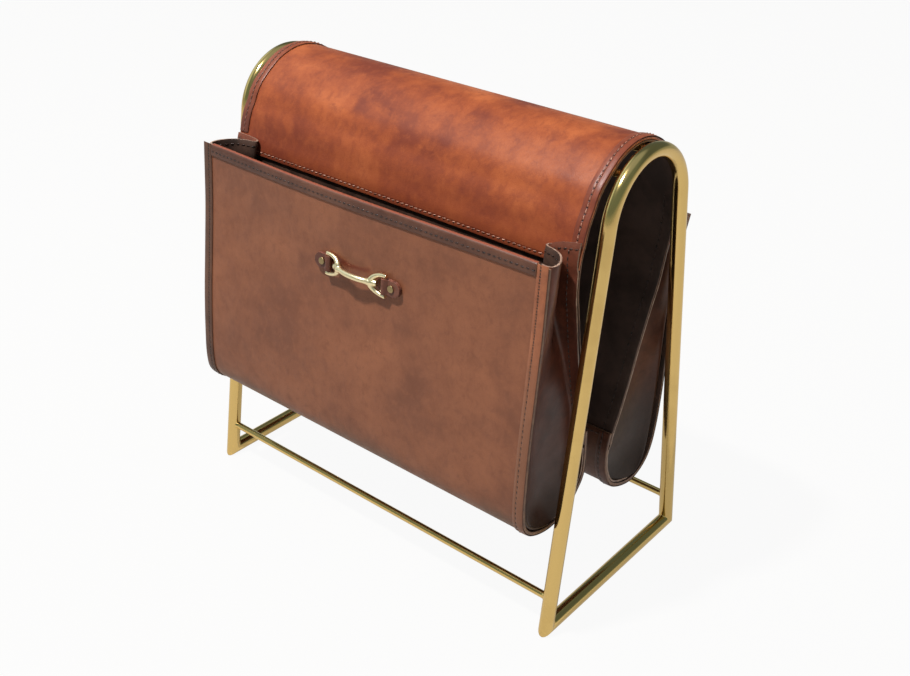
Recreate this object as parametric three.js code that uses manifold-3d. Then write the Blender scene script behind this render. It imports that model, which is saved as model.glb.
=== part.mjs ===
// Magazine basket: a leather saddlebag with two gusseted pockets, hung over the
// top rods of a frame bent from brass tube.
// Millimetres. +Z is up, X runs along the basket from one end frame to the other
// and -Y is the front. Everything is drawn about the middle of the frame at floor
// level, and the last lines move it so that the origin is under its whole depth.
import * as THREE from 'three';
import { mergeVertices } from 'three/addons/utils/BufferGeometryUtils.js';
import Module from 'manifold-3d';

const wasm = await Module();
wasm.setup();

// Frame sizes
const frameWidth = 405;            // over the outside of the two end frames
const frameDepth = 206;            // over the outside of a floor bar's corners
const frameHeight = 409;           // floor to the top of the arch
const tubeDiameter = 12.7;
const tubeWall = 1.2;
const archRadius = 52.2;           // centre line of the tube over the top
const rodDiameter = 6.35;
const lowerRodHeight = 34.3;       // floor to the middle of the two lower rods
const shoulderAngle = (37 * Math.PI) / 180;           // crown rod to shoulder rod

// Leather thicknesses and clearances
const seatGap = 0.3;               // between two pieces that lie on each other
const sideGap = 2.8;               // end frame to the side edge of the leather
const liningThickness = 1.6;
const saddleThickness = 2;
const slingThickness = 2.8;
const gussetThickness = 1.6;
const bindingThickness = 1;

// Front pocket: reaches are measured from the middle plane of the frame, drops
// from the centre of the arch down and heights from the floor up
const frontReach = 127;
const frontTopDrop = 5.7;
const frontFootHeight = 100.15;
const frontWallReach = 70.4;
const frontSeamHeight = 170.45;
const frontHemDrop = 23.7;

// Back pocket, which hangs lower and swings in under the arch
const backReach = 93;
const backTopDrop = 31.5;
const backFootHeight = 78.15;
const backWallReach = 61;
const backSeamHeight = 148.45;
const backHemDrop = 48;

const seamLap = 12;                // how far the lining runs down inside a sling
const layerEase = 4;               // a sheet comes off the end of a layer over this height
const endBindingWidth = 13;        // strips along the two sides of the saddle
const mouthBindingOutside = 8;     // strip folded over the mouth of a pocket
const mouthBindingInside = 8;
const borderWidth = 10;            // sewn strip along the side edges of a pocket
const gussetFold = 26.5;           // how far in the gusset folds at the mouth
const gussetRecess = 12;           // how far in it lies lower down
const gussetClearance = 0.5;       // gusset to the sheets that it is sewn to
const gussetFootGap = 2.5;         // sling to the lowest edge of the gusset

// Handle on the front pocket
const handleDrop = 70.4;           // centre of the arch to the handle
const handleOffset = 4.7;          // the handle is sewn on a little right of the middle
const handleRivetSpan = 77;
const handlePinSpan = 62.4;        // between the cross pins of the two shackles
const handleBow = 5.6;              // how far the middle of the bar stands out more
const barDiameter = 4.6;
const barStub = 5.5;               // how far the bar runs on inside a shackle
const shackleDiameter = 3;
const shackleHeight = 17.5;
const shackleDepth = 13.5;
const pinDiameter = 2.6;
const tabWidth = 13.4;
const tabThickness = 1.3;
const tabOverhang = 8.6;           // rivet to the round end of a tab
const rivetHeadDiameter = 6.2;
const rivetHeadHeight = 1.3;
const rivetShankDiameter = 3;
const rivetTailDiameter = 6;
const rivetTailHeight = 0.8;

// Counts
const tubeSides = 20;
const boreSides = 10;
const rodSides = 12;
const archSteps = 16;
const wireSides = 10;
const wireSteps = 12;
const foldSteps = 8;
const liningPoints = 70;
const slingPoints = 46;
const roundSides = 14;
const seatedSteps = 4;
const gussetFootLevels = 6;
const gussetWallLevels = 10;
const gussetFlapLevels = 4;

// Outlines. Each pocket row is a share of its reach and of its drop to the foot,
// from the mouth down, round the foot and up the inner wall to the seam.
const frontSlingShares = [
  [0.882, 0.023], [0.894, 0.130], [0.908, 0.247], [0.941, 0.423], [0.976, 0.603],
  [0.996, 0.762], [1, 0.860], [0.982, 0.922], [0.931, 0.958], [0.850, 0.982],
  [0.748, 0.997], [0.661, 1], [0.551, 0.989], [0.457, 0.963], [0.394, 0.932],
  [0.343, 0.897], [0.325, 0.850], [0.325, 0.800], [0.334, 0.719],
];
const backSlingShares = [
  [1, 0.116], [0.941, 0.168], [0.906, 0.225], [0.880, 0.300], [0.866, 0.408],
  [0.855, 0.554], [0.843, 0.705], [0.828, 0.768], [0.803, 0.840], [0.745, 0.921],
  [0.661, 0.966], [0.520, 0.994], [0.398, 1], [0.280, 0.993], [0.136, 0.974],
  [0.030, 0.950], [-0.032, 0.920], [-0.074, 0.888], [-0.100, 0.842], [-0.094, 0.795],
  [-0.054, 0.742],
];

// Inner face of the lining beside the arch, as shares of the wall's reach and of
// the drop to the seam, from above the seam up to the shoulder.
const frontWallShares = [
  [0.690, 0.870], [0.770, 0.736], [0.902, 0.470], [0.957, 0.338], [0.996, 0.250],
  [1, 0.160], [0.980, 0.090], [0.937, 0.040], [0.874, -0.044], [0.781, -0.109],
  [0.709, -0.166],
];
const backWallShares = [
  [0.105, 0.915], [0.200, 0.847], [0.333, 0.743], [0.413, 0.671], [0.579, 0.545],
  [0.685, 0.470], [0.792, 0.399], [0.910, 0.281], [0.984, 0.212], [1, 0.152],
  [1, 0.078], [0.987, 0.004], [0.934, -0.065], [0.820, -0.140],
];

// Plan of a gusset from the outer panel to the inner wall: the first number is
// a share of the pocket's clear depth, the second a share of how far it lies in.
const gussetMouthShares = [
  [0, 0.32], [0, 0.17], [0.04, 0.03], [0.14, -0.02], [0.3, 0], [0.48, 0.13],
  [0.66, 0.34], [0.78, 0.66], [0.83, 0.9], [0.9, 1], [0.97, 0.9], [1, 0.6], [1, 0.01],
];
const gussetFootShares = [
  [0, 0.75], [0, 0.4], [0.03, 0.2], [0.1, 0.5], [0.22, 0.8], [0.36, 0.96],
  [0.5, 1], [0.64, 0.96], [0.76, 0.9], [0.88, 0.86], [0.97, 0.8], [1, 0.5], [1, 0.02],
];

// Height, as a share of a gusset's, from which it turns from its foot's plan to
// its mouth's
const gussetFlareShare = 0.35;

// Crown of a rivet's head, as shares of its radius and of its height
const rivetHeadShares = [[0, 1], [0.6, 0.9], [1, 0.35]];

// Places worked out from the sizes
const tubeRadius = tubeDiameter / 2;
const rodRadius = rodDiameter / 2;
const endX = frameWidth / 2 - tubeRadius;
const archCentreZ = frameHeight - tubeRadius - archRadius;
const frontFootDrop = archCentreZ - frontFootHeight;
const frontSeamDrop = archCentreZ - frontSeamHeight;
const backFootDrop = archCentreZ - backFootHeight;
const backSeamDrop = archCentreZ - backSeamHeight;
const cornerY = frameDepth / 2 - tubeRadius;
const bagX = endX - tubeRadius - sideGap;
const liningRadius = archRadius + rodRadius + seatGap;
const seatedAngle = shoulderAngle + Math.asin(rodRadius / archRadius);
const saddleStart = liningThickness + seatGap;
const saddleFace = saddleStart + saddleThickness;

// Materials
const brass = new THREE.MeshStandardMaterial({ color: 0xc9a766, roughness: 0.22, metalness: 1 });
const paleBrass = new THREE.MeshStandardMaterial({ color: 0xd8c48a, roughness: 0.25, metalness: 1 });
const saddleLeather = new THREE.MeshStandardMaterial({ color: 0x9c5336, roughness: 0.4, metalness: 0 });
const pocketLeather = new THREE.MeshStandardMaterial({ color: 0x85563f, roughness: 0.45, metalness: 0 });
const darkLeather = new THREE.MeshStandardMaterial({ color: 0x3a2620, roughness: 0.5, metalness: 0 });
const trimLeather = new THREE.MeshStandardMaterial({ color: 0x6b4634, roughness: 0.45, metalness: 0 });

// Helpers for solids

// Turns a sketch drawn across (Y) and up (Z) into world axes, extruded along X
const sketchToWorld = new THREE.Matrix4().makeBasis(
  new THREE.Vector3(0, 1, 0),
  new THREE.Vector3(0, 0, 1),
  new THREE.Vector3(1, 0, 0),
);

function bare(geometry) {
  const copy = geometry.clone();
  copy.deleteAttribute('normal');
  copy.deleteAttribute('uv');
  return mergeVertices(copy);
}

function toSolid(geometry) {
  const merged = bare(geometry);
  return new wasm.Manifold(new wasm.Mesh({
    numProp: 3,
    vertProperties: new Float32Array(merged.attributes.position.array),
    triVerts: new Uint32Array(merged.index.array),
  }));
}

function toGeometry(solid) {
  const mesh = solid.getMesh();
  const geometry = new THREE.BufferGeometry();
  geometry.setAttribute('position', new THREE.BufferAttribute(new Float32Array(mesh.vertProperties), 3));
  geometry.setIndex(new THREE.BufferAttribute(new Uint32Array(mesh.triVerts), 1));
  geometry.computeVertexNormals();
  return geometry;
}

// A ring whose flats touch the stated radius, with a flat facing each axis
function flatRing(radius, sides) {
  const corner = radius / Math.cos(Math.PI / sides);
  const points = [];
  for (let i = 0; i < sides; i += 1) {
    const angle = (2 * Math.PI * (i + 0.5)) / sides;
    points.push(new THREE.Vector2(corner * Math.cos(angle), corner * Math.sin(angle)));
  }
  return points;
}

// A path that passes through each of its points in equal steps of its parameter
class PointPath extends THREE.Curve {
  constructor(points) {
    super();
    this.points = points;
  }

  getPoint(t, target = new THREE.Vector3()) {
    const last = this.points.length - 1;
    const index = Math.min(Math.floor(t * last + 1e-9), last - 1);
    return target.copy(this.points[index]).lerp(this.points[index + 1], t * last - index);
  }

  getPointAt(t, target) {
    return this.getPoint(t, target);
  }

  getTangentAt(t, target = new THREE.Vector3()) {
    const last = this.points.length - 1;
    const index = Math.round(t * last);
    const before = this.points[Math.max(index - 1, 0)];
    const after = this.points[Math.min(index + 1, last)];
    return target.copy(after).sub(before).normalize();
  }
}

function sweep(points, radius, sides) {
  return new THREE.ExtrudeGeometry(new THREE.Shape(flatRing(radius, sides)), {
    steps: points.length - 1,
    extrudePath: new PointPath(points),
  });
}

function ball(centre, radius, sides) {
  return new THREE.SphereGeometry(radius, sides, sides / 2).translate(centre.x, centre.y, centre.z);
}

// Adds solids together
function joined(geometries) {
  return geometries.map(toSolid).reduce((sum, solid) => sum.add(solid));
}

// Helpers for leather

function smoothLine(knots, count) {
  const curve = new THREE.CatmullRomCurve3(
    knots.map(([y, z]) => new THREE.Vector3(y, z, 0)), false, 'centripetal');
  return curve.getSpacedPoints(count).map((p) => new THREE.Vector2(p.x, p.y));
}

// Moves a line sideways, to its left as it runs
function offsetLine(line, distance) {
  return line.map((point, i) => {
    const before = line[Math.max(i - 1, 0)];
    const after = line[Math.min(i + 1, line.length - 1)];
    const along = after.clone().sub(before).normalize();
    return new THREE.Vector2(point.x - along.y * distance, point.y + along.x * distance);
  });
}

// A band of leather between two offsets of a line, from one X to another
function band(line, near, far, fromX, toX) {
  const outline = [...offsetLine(line, near), ...offsetLine(line, far).reverse()];
  const geometry = new THREE.ExtrudeGeometry(new THREE.Shape(outline), {
    depth: toX - fromX,
    bevelEnabled: false,
  });
  return geometry.applyMatrix4(sketchToWorld).translate(fromX, 0, 0);
}

// Reads the Y of a line at a height, on its stretch between two of its points
function reachAt(line, height) {
  for (let i = 0; i < line.length - 1; i += 1) {
    const a = line[i];
    const b = line[i + 1];
    if ((a.y - height) * (b.y - height) <= 0 && a.y !== b.y) {
      return a.x + ((b.x - a.x) * (height - a.y)) / (b.y - a.y);
    }
  }
  const nearest = line.reduce((best, p) =>
    (Math.abs(p.y - height) < Math.abs(best.y - height) ? p : best));
  return nearest.x;
}

// Closes two facing grids of points into one solid sheet
function sheetBetween(gridA, gridB) {
  const rows = gridA.length;
  const columns = gridA[0].length;
  const positions = [];
  [gridA, gridB].forEach((grid) => grid.forEach((row) => row.forEach((p) => {
    positions.push(p.x, p.y, p.z);
  })));
  const at = (side, r, c) => side * rows * columns + r * columns + c;
  const index = [];
  const quad = (a, b, c, d) => index.push(a, b, c, a, c, d);
  for (let r = 0; r < rows - 1; r += 1) {
    for (let c = 0; c < columns - 1; c += 1) {
      quad(at(0, r, c), at(0, r, c + 1), at(0, r + 1, c + 1), at(0, r + 1, c));
      quad(at(1, r, c), at(1, r + 1, c), at(1, r + 1, c + 1), at(1, r, c + 1));
    }
    quad(at(0, r, 0), at(0, r + 1, 0), at(1, r + 1, 0), at(1, r, 0));
    quad(at(0, r, columns - 1), at(1, r, columns - 1), at(1, r + 1, columns - 1), at(0, r + 1, columns - 1));
  }
  for (let c = 0; c < columns - 1; c += 1) {
    quad(at(0, 0, c), at(1, 0, c), at(1, 0, c + 1), at(0, 0, c + 1));
    quad(at(0, rows - 1, c), at(0, rows - 1, c + 1), at(1, rows - 1, c + 1), at(1, rows - 1, c));
  }
  const geometry = new THREE.BufferGeometry();
  geometry.setAttribute('position', new THREE.Float32BufferAttribute(positions, 3));
  geometry.setIndex(index);
  if (signedVolume(geometry) < 0) {
    geometry.setIndex(index.reverse());
  }
  geometry.computeVertexNormals();
  return geometry;
}

function signedVolume(geometry) {
  const position = geometry.attributes.position;
  const corner = [new THREE.Vector3(), new THREE.Vector3(), new THREE.Vector3()];
  let volume = 0;
  for (let i = 0; i < geometry.index.count; i += 3) {
    corner.forEach((v, k) => v.fromBufferAttribute(position, geometry.index.getX(i + k)));
    volume += corner[0].dot(corner[1].cross(corner[2]));
  }
  return volume;
}

// Frame

// Centre line of a bow: up one leg, over the arch and down the other leg
function bowLine(x) {
  const toCentre = new THREE.Vector2(cornerY, archCentreZ - tubeRadius);
  const lean = Math.atan2(toCentre.x, toCentre.y) - Math.asin(archRadius / toCentre.length());
  const points = [new THREE.Vector3(x, -cornerY, tubeRadius)];
  for (let i = 0; i <= archSteps; i += 1) {
    const angle = lean + ((Math.PI - 2 * lean) * i) / archSteps;
    points.push(new THREE.Vector3(
      x,
      -archRadius * Math.cos(angle),
      archCentreZ + archRadius * Math.sin(angle),
    ));
  }
  points.push(new THREE.Vector3(x, cornerY, tubeRadius));
  return points;
}

// Y of a leg's centre line at a height, on the front side
function legY(height) {
  const [corner, springing] = bowLine(0);
  const share = (height - corner.z) / (springing.z - corner.z);
  return corner.y + (springing.y - corner.y) * share;
}

// A block on one side of the two mitre planes, which pass through the corners
// and halve the angle between leg and floor bar
function mitreBlock(x, side, keepsBar) {
  const [corner, springing] = bowLine(x);
  const leg = springing.clone().sub(corner).normalize();
  const bar = new THREE.Vector3(0, 1, 0);
  const along = leg.clone().add(bar).normalize();
  const across = leg.clone().sub(bar).normalize();
  const size = tubeDiameter * 4;
  const sign = keepsBar ? 1 : -1;
  const block = new THREE.BoxGeometry(size, size, size);
  const shift = size / 2 - seatGap / 2;
  block.applyMatrix4(new THREE.Matrix4().makeBasis(new THREE.Vector3(1, 0, 0), along, across));
  block.translate(x, corner.y + across.y * sign * shift, corner.z + across.z * sign * shift);
  if (side > 0) {
    block.applyMatrix4(new THREE.Matrix4().makeRotationZ(Math.PI)).translate(2 * x, 0, 0);
  }
  return toSolid(block);
}

function tubePiece(line, x, keepsBar) {
  const ends = [line[0], line[line.length - 1]];
  const filled = (radius, sides) => joined([
    sweep(line, radius, sides), ...ends.map((end) => ball(end, radius, sides)),
  ]);
  return toGeometry(filled(tubeRadius, tubeSides)
    .subtract(filled(tubeRadius - tubeWall, boreSides))
    .subtract(mitreBlock(x, -1, keepsBar))
    .subtract(mitreBlock(x, 1, keepsBar)));
}

function bowTube(x) {
  return tubePiece(bowLine(x), x, false);
}

function floorBar(x) {
  const line = bowLine(x);
  return tubePiece([line[0], line[line.length - 1]], x, true);
}

// A rod from one end frame to the other, hollowed at its ends to fit the tubes
function crossRod(y, z) {
  const line = [new THREE.Vector3(-endX, y, z), new THREE.Vector3(endX, y, z)];
  const seats = [-endX, endX].map((x) => toSolid(sweep(bowLine(x), tubeRadius + seatGap, tubeSides)));
  const rod = toSolid(sweep(line, rodRadius, rodSides));
  const pieces = rod.subtract(seats[0]).subtract(seats[1]).decompose();
  const longest = pieces.reduce((best, piece) => (piece.volume() > best.volume() ? piece : best));
  return toGeometry(longest);
}

// Leather outlines

function pocketKnots(shares, side, reach, drop) {
  return shares.map(([across, down]) => [side * reach * across, archCentreZ - drop * down]);
}

const frontSlingLine = smoothLine(pocketKnots(frontSlingShares, -1, frontReach, frontFootDrop), slingPoints);
const backSlingLine = smoothLine(pocketKnots(backSlingShares, 1, backReach, backFootDrop), slingPoints);

const pockets = {
  front: {
    side: -1,
    line: frontSlingLine,
    mouth: archCentreZ - frontTopDrop,
    hem: archCentreZ - frontHemDrop,
    seam: archCentreZ - frontSeamDrop,
  },
  back: {
    side: 1,
    line: backSlingLine,
    mouth: archCentreZ - backTopDrop,
    hem: archCentreZ - backHemDrop,
    seam: archCentreZ - backSeamDrop,
  },
};

// Distances into a pocket from its sling's outer face count to the left of the
// front line and to the right of the back line
function inwards(pocket, distance) {
  return -pocket.side * distance;
}

// How far the strip folded over a mouth stands above the sling's own top edge
const mouthRise = slingThickness / 2 + seatGap + bindingThickness;

// The line of a sling from its top edge, which lies under the folded strip
function slingEdgeLine(pocket) {
  const top = pocket.mouth - mouthRise;
  return [new THREE.Vector2(reachAt(pocket.line, top), top), ...pocket.line.filter((p) => p.y < top)];
}

function lowestIndex(line) {
  return line.reduce((best, p, i) => (p.y < line[best].y ? i : best), 0);
}

// The two knots where the lining lies flat against the inside of a sling
function lapKnots(pocket) {
  const inner = offsetLine(pocket.line, inwards(pocket, slingThickness + 2 * seatGap));
  const wall = inner.slice(lowestIndex(inner));
  return [pocket.seam - seamLap, pocket.seam].map((z) => [reachAt(wall, z), z]);
}

// Inner face of the lining: up the front wall, over the rods, down the back wall
function liningKnots() {
  const front = pocketKnots(frontWallShares, -1, frontWallReach, frontSeamDrop);
  const back = pocketKnots(backWallShares, 1, backWallReach, backSeamDrop);
  const over = [];
  for (let i = -seatedSteps; i <= seatedSteps; i += 1) {
    const angle = (seatedAngle * i) / seatedSteps;
    over.push([liningRadius * Math.sin(angle), archCentreZ + liningRadius * Math.cos(angle)]);
  }
  return [
    ...lapKnots(pockets.front), ...front, ...over,
    ...back.reverse(), ...lapKnots(pockets.back).reverse(),
  ];
}

const liningLine = smoothLine(liningKnots(), liningPoints);
const crownIndex = liningLine.reduce((best, p, i) => (p.y > liningLine[best].y ? i : best), 0);

// One wall of the lining, from its lap up to the crown
function liningWall(pocket) {
  if (pocket.side < 0) {
    return liningLine.slice(0, crownIndex + 1);
  }
  return liningLine.slice(crownIndex).reverse();
}

// The stretch of the lining above one height in front and another at the back
function liningBetween(frontZ, backZ) {
  const above = (pocket, z) => {
    const wall = liningWall(pocket);
    return [new THREE.Vector2(reachAt(wall, z), z), ...wall.filter((p) => p.y > z)];
  };
  return [...above(pockets.front, frontZ), ...above(pockets.back, backZ).reverse().slice(1)];
}

// Y of the innermost face of a pocket's panel and of its inner wall at a height
function clearDepth(pocket, height) {
  const inner = offsetLine(pocket.line, inwards(pocket, slingThickness));
  const lowest = lowestIndex(inner);
  const panel = reachAt(inner.slice(0, lowest + 1), height);
  if (height < pocket.seam - seamLap - layerEase / 2) {
    return { panel, wall: reachAt(inner.slice(lowest), height) };
  }
  const layers = height < pocket.hem - layerEase / 2 ? liningThickness : saddleFace;
  const face = offsetLine(liningLine, layers);
  const wallPoints = pocket.side < 0
    ? face.slice(0, crownIndex + 1)
    : face.slice(crownIndex).reverse();
  return { panel, wall: reachAt(wallPoints, height) };
}

// Leather pieces

const liningPiece = band(liningLine, 0, liningThickness, -bagX, bagX);

const saddlePiece = band(
  liningBetween(pockets.front.hem, pockets.back.hem), saddleStart, saddleFace, -bagX, bagX);

function endBinding(side) {
  const line = liningBetween(pockets.front.mouth + seatGap, pockets.back.mouth + seatGap);
  const near = saddleFace + seatGap;
  const xs = [side * (bagX - endBindingWidth), side * bagX];
  return band(line, near, near + bindingThickness, Math.min(...xs), Math.max(...xs));
}

const handleZ = archCentreZ - handleDrop;
const panelY = reachAt(frontSlingLine, handleZ);
const panelLean = Math.atan2(
  reachAt(frontSlingLine, handleZ + tabWidth / 2) - reachAt(frontSlingLine, handleZ - tabWidth / 2),
  tabWidth,
);
const rivetPlaces = { left: -handleRivetSpan / 2, right: handleRivetSpan / 2 };

// Places a part drawn against the panel's face: X across, Y into the panel, Z up,
// with zero at the middle of the handle
function onPanel(geometry) {
  return geometry.rotateX(-panelLean).translate(handleOffset, panelY, handleZ);
}

function rivetHole(x) {
  const radius = rivetShankDiameter / 2 + seatGap;
  const reach = slingThickness * 4;
  return toSolid(onPanel(new THREE.CylinderGeometry(radius, radius, reach, roundSides).translate(x, 0, 0)));
}

function sling(pocket) {
  const edges = [0, inwards(pocket, slingThickness)];
  const piece = band(slingEdgeLine(pocket), Math.min(...edges), Math.max(...edges), -bagX, bagX);
  if (pocket.side > 0) {
    return piece;
  }
  return toGeometry(toSolid(piece)
    .subtract(rivetHole(rivetPlaces.left))
    .subtract(rivetHole(rivetPlaces.right)));
}

// A strip sewn on the outside of a sling along one of its side edges
function sideStrip(pocket, side) {
  const edges = [inwards(pocket, -seatGap), inwards(pocket, -seatGap - bindingThickness)];
  const xs = [side * (bagX - borderWidth), side * bagX];
  return band(pocket.line, Math.min(...edges), Math.max(...edges), Math.min(...xs), Math.max(...xs));
}

// A strip folded over the mouth of a pocket, between the two side strips
function mouthBinding(pocket) {
  const [top, next] = slingEdgeLine(pocket);
  const down = next.clone().sub(top).normalize();
  const into = new THREE.Vector2(-pocket.side, 0);
  into.addScaledVector(down, -into.dot(down)).normalize();
  const reach = mouthRise - bindingThickness / 2;
  const middle = top.clone().addScaledVector(into, slingThickness / 2);
  const at = (inside, below) => middle.clone().addScaledVector(into, inside).addScaledVector(down, below);
  const line = [at(-reach, mouthBindingOutside)];
  for (let i = 0; i <= foldSteps; i += 1) {
    const angle = (Math.PI * i) / foldSteps;
    line.push(at(-reach * Math.cos(angle), -reach * Math.sin(angle)));
  }
  line.push(at(reach, mouthBindingInside));
  const halfWidth = bagX - borderWidth - seatGap;
  return band(line, -bindingThickness / 2, bindingThickness / 2, -halfWidth, halfWidth);
}

// Heights at which a gusset's plan is drawn, closer together at its foot and
// where it passes the end of another layer
function gussetLevels(pocket) {
  const low = pocket.line[lowestIndex(pocket.line)].y + slingThickness + gussetFootGap;
  const lap = pocket.seam - seamLap;
  const levels = [];
  for (let i = 0; i < gussetFootLevels; i += 1) {
    levels.push(low + (lap - layerEase - low) * (i / gussetFootLevels) ** 2);
  }
  levels.push(lap - layerEase);
  for (let i = 0; i < gussetWallLevels; i += 1) {
    const share = (1 - Math.cos((Math.PI * i) / gussetWallLevels)) / 2;
    levels.push(THREE.MathUtils.lerp(lap - layerEase / 2, pocket.hem - layerEase, share));
  }
  levels.push(pocket.hem - layerEase);
  for (let i = 0; i <= gussetFlapLevels; i += 1) {
    levels.push(THREE.MathUtils.lerp(pocket.hem - layerEase / 2, pocket.mouth, i / gussetFlapLevels));
  }
  return levels;
}

// A gusset closes one end of a pocket. It folds in at the mouth and lies in a
// shallow hollow lower down, with flanges against the panel and the wall.
function gusset(pocket, side) {
  const edge = gussetThickness / 2 + gussetClearance;
  const levels = gussetLevels(pocket);
  const [low] = levels;
  const faces = [[], []];
  levels.forEach((height) => {
    const { panel, wall } = clearDepth(pocket, height);
    const depth = Math.abs(panel - wall) - 2 * edge;
    const mix = THREE.MathUtils.smoothstep((height - low) / (pocket.mouth - low), gussetFlareShare, 1);
    const plan = gussetFootShares.map(([footAcross, footIn], k) => {
      const [mouthAcross, mouthIn] = gussetMouthShares[k];
      const across = THREE.MathUtils.lerp(footAcross, mouthAcross, mix);
      const inset = THREE.MathUtils.lerp(footIn * gussetRecess, mouthIn * gussetFold, mix);
      return new THREE.Vector2(side * (bagX - edge - inset), panel - pocket.side * (edge + depth * across));
    });
    [gussetThickness / 2, -gussetThickness / 2].forEach((shift, i) => {
      faces[i].push(offsetLine(plan, shift).map((p) => new THREE.Vector3(p.x, p.y, height)));
    });
  });
  return sheetBetween(faces[0], faces[1]);
}

// Handle

const tabTurn = pinDiameter / 2 + seatGap + tabThickness / 2;
const tabBack = -(seatGap + tabThickness / 2);
const tabFront = tabBack - tabThickness - seatGap;
const pinY = tabBack - tabTurn;
const pinX = handlePinSpan / 2;

// Bar through both shackles, bowed out from the panel
function barLine() {
  const half = pinX - shackleDepth + barStub;
  const points = [];
  for (let i = -wireSteps / 2; i <= wireSteps / 2; i += 1) {
    const share = i / (wireSteps / 2);
    points.push(new THREE.Vector3(share * half, pinY - handleBow * Math.cos((share * Math.PI) / 2), 0));
  }
  return points;
}

// Half ring from one end of the cross pin round to the other
function shackleLine(side) {
  const points = [];
  for (let i = 0; i <= wireSteps; i += 1) {
    const angle = (Math.PI * i) / wireSteps - Math.PI / 2;
    points.push(new THREE.Vector3(
      side * (pinX - shackleDepth * Math.cos(angle)), pinY, (shackleHeight / 2) * Math.sin(angle)));
  }
  return points;
}

function pinLine(side) {
  return [-1, 1].map((end) => new THREE.Vector3(side * pinX, pinY, (end * shackleHeight) / 2));
}

function handleBit() {
  const wires = [sweep(barLine(), barDiameter / 2, wireSides)];
  [-1, 1].forEach((side) => {
    wires.push(sweep(shackleLine(side), shackleDiameter / 2, wireSides));
    wires.push(sweep(pinLine(side), pinDiameter / 2, wireSides));
    pinLine(side).forEach((end) => wires.push(ball(end, shackleDiameter / 2, wireSides)));
  });
  return onPanel(toGeometry(joined(wires)));
}

// Section of a tab: folded round the cross pin, with both ends under the rivet
function tabLine() {
  const endX = handleRivetSpan / 2 + tabOverhang;
  const leave = Math.PI / 4;
  const points = [new THREE.Vector2(endX, tabBack)];
  for (let i = 0; i <= foldSteps; i += 1) {
    const angle = Math.PI / 2 + ((Math.PI + leave) * i) / foldSteps;
    points.push(new THREE.Vector2(pinX + tabTurn * Math.cos(angle), pinY + tabTurn * Math.sin(angle)));
  }
  const last = points[points.length - 1];
  const bendX = last.x + (tabFront - last.y) / Math.tan(leave);
  points.push(new THREE.Vector2(bendX, tabFront), new THREE.Vector2(endX, tabFront));
  return points;
}

// Face of a tab with its round end, cut out of the folded strip
function tabFace() {
  const half = tabWidth / 2;
  const roundX = handleRivetSpan / 2 + tabOverhang - half;
  const startX = pinX - tabWidth;
  const face = new THREE.Shape();
  face.moveTo(startX, -half);
  face.lineTo(roundX, -half);
  face.absarc(roundX, 0, half, -Math.PI / 2, Math.PI / 2, false);
  face.lineTo(startX, half);
  return new THREE.ExtrudeGeometry(face, {
    depth: tabWidth * 2, bevelEnabled: false, curveSegments: roundSides / 2,
  }).rotateX(Math.PI / 2).translate(0, tabWidth, 0);
}

function tab(side) {
  const line = tabLine();
  const outline = [...offsetLine(line, -tabThickness / 2), ...offsetLine(line, tabThickness / 2).reverse()];
  const strip = new THREE.ExtrudeGeometry(new THREE.Shape(outline), {
    depth: tabWidth + seatGap, bevelEnabled: false,
  }).translate(0, 0, -(tabWidth + seatGap) / 2);
  const holeRadius = rivetShankDiameter / 2 + seatGap;
  const hole = new THREE.CylinderGeometry(holeRadius, holeRadius, tabWidth * 2, roundSides)
    .translate(handleRivetSpan / 2, 0, 0);
  const piece = toGeometry(toSolid(strip).intersect(toSolid(tabFace())).subtract(toSolid(hole)));
  return onPanel(side < 0 ? piece.rotateY(Math.PI) : piece);
}

function rivet(x) {
  const headY = -tabFront + tabThickness / 2 + seatGap;
  const headRadius = rivetHeadDiameter / 2;
  const shankRadius = rivetShankDiameter / 2;
  const tailRadius = rivetTailDiameter / 2;
  const tail = -(slingThickness + seatGap);
  const profile = [
    ...rivetHeadShares.map(([out, up]) => [headRadius * out, headY + rivetHeadHeight * up]),
    [headRadius, headY],
    [shankRadius, headY],
    [shankRadius, tail],
    [tailRadius, tail],
    [tailRadius, tail - rivetTailHeight],
    [0, tail - rivetTailHeight],
  ].map(([r, y]) => new THREE.Vector2(r, y)).reverse();
  return onPanel(new THREE.LatheGeometry(profile, roundSides).rotateX(Math.PI).translate(x, 0, 0));
}

// Assembly

const basket = new THREE.Group();

function add(name, geometry, material) {
  const mesh = new THREE.Mesh(geometry, material);
  mesh.name = name;
  basket.add(mesh);
}

const ends = { left: -1, right: 1 };
Object.entries(ends).forEach(([name, side]) => {
  add(`${name}_bow_tube`, bowTube(side * endX), brass);
  add(`${name}_floor_bar`, floorBar(side * endX), brass);
});

add('front_lower_rod', crossRod(legY(lowerRodHeight), lowerRodHeight), brass);
add('back_lower_rod', crossRod(-legY(lowerRodHeight), lowerRodHeight), brass);
const rodAngles = { front_shoulder_rod: -shoulderAngle, crown_rod: 0, back_shoulder_rod: shoulderAngle };
Object.entries(rodAngles).forEach(([name, angle]) => {
  add(name, crossRod(archRadius * Math.sin(angle), archCentreZ + archRadius * Math.cos(angle)), brass);
});

add('saddle_lining', liningPiece, darkLeather);
add('saddle_panel', saddlePiece, saddleLeather);
Object.entries(ends).forEach(([name, side]) => {
  add(`saddle_${name}_binding`, endBinding(side), saddleLeather);
});

Object.entries(pockets).forEach(([place, pocket]) => {
  add(`${place}_pocket_sling`, sling(pocket), pocketLeather);
  add(`${place}_pocket_binding`, mouthBinding(pocket), trimLeather);
  Object.entries(ends).forEach(([name, side]) => {
    add(`${place}_pocket_${name}_strip`, sideStrip(pocket, side), trimLeather);
    add(`${place}_pocket_${name}_gusset`, gusset(pocket, side), darkLeather);
  });
});

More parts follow.
